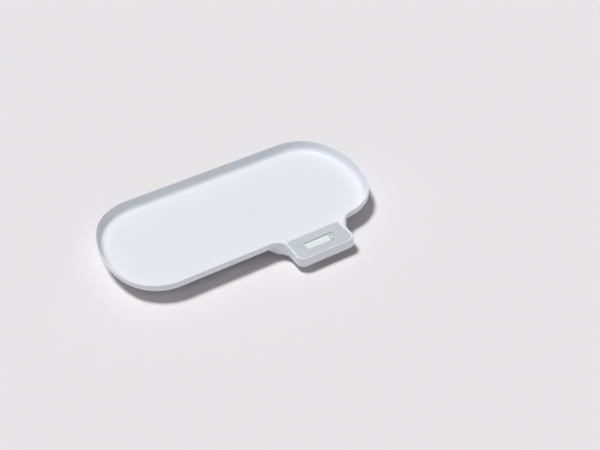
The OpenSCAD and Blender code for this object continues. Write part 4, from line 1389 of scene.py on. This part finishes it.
# %% Patterns
def object_place(material, scale=(1, 1, 1)):
    """Object coordinates, stretched by a scale along each axis."""
    coordinates = add(material, "ShaderNodeTexCoord")
    mapping = add(material, "ShaderNodeMapping")
    mapping.inputs["Scale"].default_value = scale
    link(material, coordinates.outputs["Object"], mapping.inputs["Vector"])
    return mapping.outputs["Vector"]


def noise(material, grain, detail=2.0, scale=(1, 1, 1)):
    """Noise with grains of a given size in metres."""
    texture = add(material, "ShaderNodeTexNoise")
    texture.inputs["Scale"].default_value = 1 / grain
    texture.inputs["Detail"].default_value = detail
    link(material, object_place(material, scale), texture.inputs["Vector"])
    return texture.outputs["Fac"]


def tint(material, factor, first, second, low=0.3, high=0.7):
    """The base colour runs from the first to the second as the factor goes from low to high."""
    ramp = add(material, "ShaderNodeValToRGB")
    ramp.color_ramp.elements[0].position, ramp.color_ramp.elements[1].position = low, high
    ramp.color_ramp.elements[0].color = (*first, 1)
    ramp.color_ramp.elements[1].color = (*second, 1)
    link(material, factor, ramp.inputs["Fac"])
    link(material, ramp.outputs["Color"], shader_input(material, "Base Color"))


def vary_roughness(material, factor, low, high):
    """Roughness runs from low to high with the factor."""
    spread = add(material, "ShaderNodeMapRange")
    spread.inputs["To Min"].default_value, spread.inputs["To Max"].default_value = low, high
    link(material, factor, spread.inputs["Value"])
    link(material, spread.outputs["Result"], shader_input(material, "Roughness"))


def relief(material, height, distance, strength=0.5):
    """A bump from a height between 0 and 1, which stands for the given distance."""
    bump = add(material, "ShaderNodeBump")
    bump.inputs["Strength"].default_value = strength
    bump.inputs["Distance"].default_value = distance
    link(material, height, bump.inputs["Height"])
    link(material, bump.outputs["Normal"], shader_input(material, "Normal"))


print("grain of 1 mm is noise with scale", round(1 / MM))

# %% [markdown]
# A moulded plastic has all three at once, so one function makes every such finish. The tray is
# bright plastic of the kind that is easy to wipe: it is faintly cool and has the slightest
# waviness, which breaks up its reflections. Each row below gives the name, two colours, the range
# of roughness, then the grain, its depth and strength, and the blotches, in millimetres.

# %% Finishes of plastic, rubber, ink and resin
def grained(name, first, second, roughness, grain, depth, strength, blotch, **sockets):
    """A moulded finish: broad soft blotches of colour, a fine grain in relief, and uneven gloss."""
    material = finish(name, first, roughness[0], **sockets)
    tint(material, noise(material, blotch * MM, 3), first, second)
    vary_roughness(material, noise(material, blotch * MM / 6, 4), *roughness)
    relief(material, noise(material, grain * MM, 2), depth * MM, strength)


for row in (
    ("cover_plastic", (0.74, 0.76, 0.79), (0.78, 0.80, 0.825), (0.48, 0.58), 0.35, 0.05, 0.55, 30),
    ("panel_film", (0.565, 0.615, 0.635), (0.58, 0.63, 0.648), (0.30, 0.38), 0.25, 0.012, 0.35, 50),
    ("key_plastic", (0.61, 0.66, 0.685), (0.63, 0.68, 0.70), (0.32, 0.4), 0.3, 0.012, 0.3, 6),
    ("lcd_face", (0.90, 0.915, 0.895), (0.915, 0.928, 0.908), (0.24, 0.3), 0.2, 0.004, 0.2, 20),
    ("digit_ink", (0.03, 0.032, 0.04), (0.045, 0.047, 0.055), (0.35, 0.45), 0.3, 0.004, 0.2, 3),
    ("mark_ink", (0.21, 0.24, 0.28), (0.25, 0.28, 0.32), (0.4, 0.5), 0.2, 0.004, 0.2, 2),
    ("foot_plastic", (0.50, 0.52, 0.54), (0.54, 0.56, 0.58), (0.42, 0.52), 0.3, 0.03, 0.4, 9),
    ("pad_rubber", (0.20, 0.205, 0.215), (0.25, 0.255, 0.265), (0.72, 0.85), 0.25, 0.05, 0.7, 5),
    ("frame_plastic", (0.70, 0.71, 0.71), (0.74, 0.75, 0.75), (0.5, 0.6), 0.3, 0.02, 0.4, 9),
    ("plunger_plastic", (0.035, 0.035, 0.04), (0.05, 0.05, 0.055), (0.4, 0.5), 0.3, 0.02, 0.4, 3),
    ("chip_resin", (0.03, 0.03, 0.032), (0.05, 0.05, 0.052), (0.45, 0.6), 0.15, 0.02, 0.4, 2),
    ("gauge_coating", (0.72, 0.66, 0.48), (0.78, 0.72, 0.55), (0.25, 0.4), 0.8, 0.05, 0.4, 2),
    ("lead_sleeve", (0.35, 0.36, 0.38), (0.42, 0.43, 0.45), (0.4, 0.5), 0.4, 0.01, 0.4, 12),
):
    grained(*row)
grained(
    "tray_plastic", (0.825, 0.852, 0.898), (0.84, 0.865, 0.91), (0.38, 0.45), 7, 0.02, 0.2, 90,
    coat=0.06, coat_roughness=0.2, specular=0.3,
)
grained(
    "battery_sleeve", (0.10, 0.26, 0.17), (0.12, 0.30, 0.20), (0.22, 0.3), 0.5, 0.005, 0.4, 9,
    coat=0.4,
)
print(len(finishes), "grained finishes")

# %% [markdown]
# The lens needs its own shader, because a window shows what lies behind it. The shader is put
# together from arithmetic and mixes, and each has a small helper.

# %% Arithmetic, plain shaders and mixes
def maths(material, operation, *values):
    """The result of one step of arithmetic. A value is a number or another node's output."""
    node = add(material, "ShaderNodeMath", operation=operation)
    for socket, value in zip(node.inputs, values):
        if isinstance(value, bpy.types.NodeSocket):
            link(material, value, socket)
        else:
            socket.default_value = value
    return node.outputs["Value"]


def plain_shader(material, kind, colour):
    """A shader of one colour."""
    shader = add(material, kind)
    shader.inputs["Color"].default_value = (*colour, 1)
    return shader.outputs[0]


def mixed(material, share, first, second):
    """A mix of two shaders: the first where the share is 0, the second where it is 1."""
    mix = add(material, "ShaderNodeMixShader")
    for socket, source in zip(mix.inputs, (share, first, second)):
        link(material, source, socket)
    return mix.outputs["Shader"]


print("clear plastic and the even fill of the light are made with these helpers")

# %% [markdown]
# Clear plastic lets light straight through and shines a little on its outer side. Its upright edges
# are frosted, as they are on a cut or moulded window.

# %% Clear plastic
def clear_plastic():
    """Clear plastic: light passes straight through, and Fresnel times the outer side is the gloss.

    Where the surface's own normal lies flatter than the limit, it is a plain pale scatter."""
    material = finish("clear_lens", (0.9, 0.92, 0.93), 0.05, metal=1.0)
    nodes, plastic_index, edge_limit = material.node_tree.nodes, 1.45, 0.3
    vary_roughness(material, noise(material, 9 * MM, 2), 0.03, 0.07)
    fresnel = add(material, "ShaderNodeFresnel")
    fresnel.inputs["IOR"].default_value = plastic_index
    backfacing = add(material, "ShaderNodeNewGeometry").outputs["Backfacing"]
    outer = maths(material, "SUBTRACT", 1, backfacing)
    gloss = maths(material, "MULTIPLY", fresnel.outputs["Fac"], outer)
    through = plain_shader(material, "ShaderNodeBsdfTransparent", (0.975, 0.985, 0.99))
    window = mixed(material, gloss, through, nodes["Principled BSDF"].outputs["BSDF"])
    parts = add(material, "ShaderNodeSeparateXYZ")
    normal = add(material, "ShaderNodeTexCoord").outputs["Normal"]
    link(material, normal, parts.inputs["Vector"])
    upright = maths(material, "ABSOLUTE", parts.outputs["Z"])
    is_edge = maths(material, "LESS_THAN", upright, edge_limit)
    frosted = plain_shader(material, "ShaderNodeBsdfDiffuse", (0.93, 0.95, 0.95))
    finished = mixed(material, is_edge, window, frosted)
    link(material, finished, nodes["Material Output"].inputs["Surface"])


clear_plastic()
print("the lens is clear, with frosted upright edges")

# %% [markdown]
# Inside there are layered and rolled materials: conductive strips, a laminate board and steel. Their
# patterns run in one direction.

# %% Finishes with a direction
def striped(name, first, second, roughness, period, axis, **sockets):
    """Bands across one axis, such as the layers of a conductive strip or the tracks of a board."""
    material = finish(name, first, roughness, **sockets)
    wave = add(material, "ShaderNodeTexWave")
    wave.bands_direction = axis
    wave.inputs["Scale"].default_value = 1 / period / 2
    wave.inputs["Distortion"].default_value = 0.6
    link(material, object_place(material), wave.inputs["Vector"])
    tint(material, wave.outputs["Fac"], first, second)
    relief(material, wave.outputs["Fac"], 0.02 * MM, 0.3)


def brushed(name, colour, second, roughness, along=(1, 0.03, 1)):
    """Rolled steel: noise that is stretched along the rolling direction, in tone and in relief."""
    material = finish(name, colour, roughness[0], metal=1.0)
    streaks = noise(material, 0.4 * MM, 4, along)
    tint(material, streaks, colour, second)
    vary_roughness(material, streaks, *roughness)
    relief(material, streaks, 0.01 * MM, 0.25)


striped("zebra_rubber", (0.02, 0.02, 0.02), (0.30, 0.30, 0.31), 0.7, 0.3 * MM, "X")
striped("board_laminate", (0.012, 0.10, 0.05), (0.02, 0.16, 0.08), 0.35, 1.3 * MM, "X", coat=0.5)
brushed("cell_steel", (0.62, 0.62, 0.62), (0.72, 0.72, 0.71), (0.22, 0.36))
brushed("contact_steel", (0.70, 0.70, 0.69), (0.80, 0.80, 0.79), (0.16, 0.28))
brushed("switch_steel", (0.55, 0.56, 0.57), (0.66, 0.67, 0.68), (0.25, 0.4))
brushed("screw_steel", (0.58, 0.59, 0.60), (0.70, 0.71, 0.72), (0.22, 0.35), (1, 1, 0.2))
print(len(finishes), "finishes in all")

# %% [markdown]
# Every piece made here takes one finish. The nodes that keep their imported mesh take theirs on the
# slots that they came with.

# %% Finishes go on the pieces
def paint(piece, name):
    """Gives a piece its only material."""
    piece.data.materials.clear()
    piece.data.materials.append(finishes[name])


painted = [
    (tray, "tray_plastic"), (panel, "panel_film"), (lens, "clear_lens"), (digit, "digit_ink"),
    (cover, "cover_plastic"), (door, "cover_plastic"), (sleeves, "battery_sleeve"),
    (ends, "contact_steel"), (springs, "contact_steel"),
]
for group, name in (
    (key_caps, "key_plastic"), (marks, "mark_ink"), (cups, "foot_plastic"), (pads, "pad_rubber"),
):
    painted += [(piece, name) for piece in group]
for piece, name in painted:
    paint(piece, name)

slot_of_node = {
    "lcd_glass": "lcd_face", "lcd_frame": "frame_plastic", "zebra_strips": "zebra_rubber",
    "main_board": "board_laminate", "board_chips": "chip_resin", "key_switches": "switch_steel",
    "left_plunger": "plunger_plastic", "right_plunger": "plunger_plastic",
    "battery_plates": "contact_steel", "strain_gauges": "gauge_coating",
    "cell_leads": "lead_sleeve", "battery_leads": "lead_sleeve",
    "cover_screws": "screw_steel", "board_screws": "screw_steel",
}
for corner in corners:
    slot_of_node["load_cell_" + corner] = "cell_steel"
for node_name, slot_name in slot_of_node.items():
    for material_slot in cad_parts[node_name].material_slots:
        material_slot.material = finishes[slot_name]
print(len(painted), "pieces and", len(slot_of_node), "packed nodes have their finish")

# %% [markdown]
# ## Floor and light
# A plain pale floor, one soft lamp from high up at the back left, two weak ones from low down at
# the front left and the front right, and an even fill. The lamps are suns with wide discs: they
# light the whole floor alike, and their shadows are soft. The main shadow falls a short way to the
# front and to the right.

# %% Floor
pale, floor_reach = (0.876, 0.85, 0.862), 30.0
floor_plan = np.array([[-1, -1, 0], [1, -1, 0], [1, 1, 0], [-1, 1, 0]]) * floor_reach
floor = mesh_object("floor", floor_plan, [[0, 1, 2, 3]])
finish("floor_paper", pale, 0.9, specular=0.1)
paint(floor, "floor_paper")
print("floor", 2 * floor_reach, "m wide")


# %% [markdown]
# The strong lamp gives the shadow and the bright floor of the dish. The weak ones are almost level,
# so that they light the walls and leave the shadow on the floor alone.

# %% Lamps
def soft_sun(name, fall, strength, disc_degrees, colour):
    """A sun whose light falls along a direction. The disc's width in degrees softens shadows.

    A sun has no place: the location only says where its mark is drawn."""
    light = bpy.data.lights.new(name, "SUN")
    light.energy, light.angle, light.color = strength, math.radians(disc_degrees), colour
    lamp = bpy.data.objects.new(name, light)
    lamp.rotation_euler = Vector(fall).to_track_quat("-Z", "Y").to_euler()
    lamp.location = (-1, 1, 3)
    bpy.context.scene.collection.objects.link(lamp)
    return lamp


lamps = [
    soft_sun("back_sun", (0.22, -0.24, -1), 2.62, 16, (0.985, 0.992, 1.0)),
    soft_sun("front_left_fill", (0.45, 0.75, -0.1), 0.56, 50, (0.95, 1.0, 0.99)),
    soft_sun("front_right_fill", (-0.8, 0.5, -0.1), 0.45, 50, (0.95, 1.0, 0.99)),
]
print("lamps:", {lamp.name: round(lamp.data.energy, 2) for lamp in lamps})

# %% [markdown]
# The world fills the shadows a little. What the camera and the reflections see of it is the pale
# colour of the floor, so the backdrop has no edge.

# %% Even fill
def even_fill(colour, strength):
    """The world lights everything evenly. Camera, gloss and glass see the pale backdrop instead."""
    world = bpy.data.worlds.new("studio")
    world.use_nodes = True
    nodes, rays = world.node_tree.nodes, add(world, "ShaderNodeLightPath").outputs
    fill = nodes["Background"]
    fill.inputs["Color"].default_value = (*colour, 1)
    fill.inputs["Strength"].default_value = strength
    seen = maths(world, "MAXIMUM", rays["Is Camera Ray"], rays["Is Glossy Ray"])
    seen = maths(world, "MAXIMUM", seen, rays["Is Transmission Ray"])
    backdrop = plain_shader(world, "ShaderNodeBackground", pale)
    shown = mixed(world, seen, fill.outputs["Background"], backdrop)
    link(world, shown, nodes["World Output"].inputs["Surface"])
    bpy.context.scene.world = world
    return world


world = even_fill((1.0, 0.88, 0.93), 0.095)
print("world:", world.name)
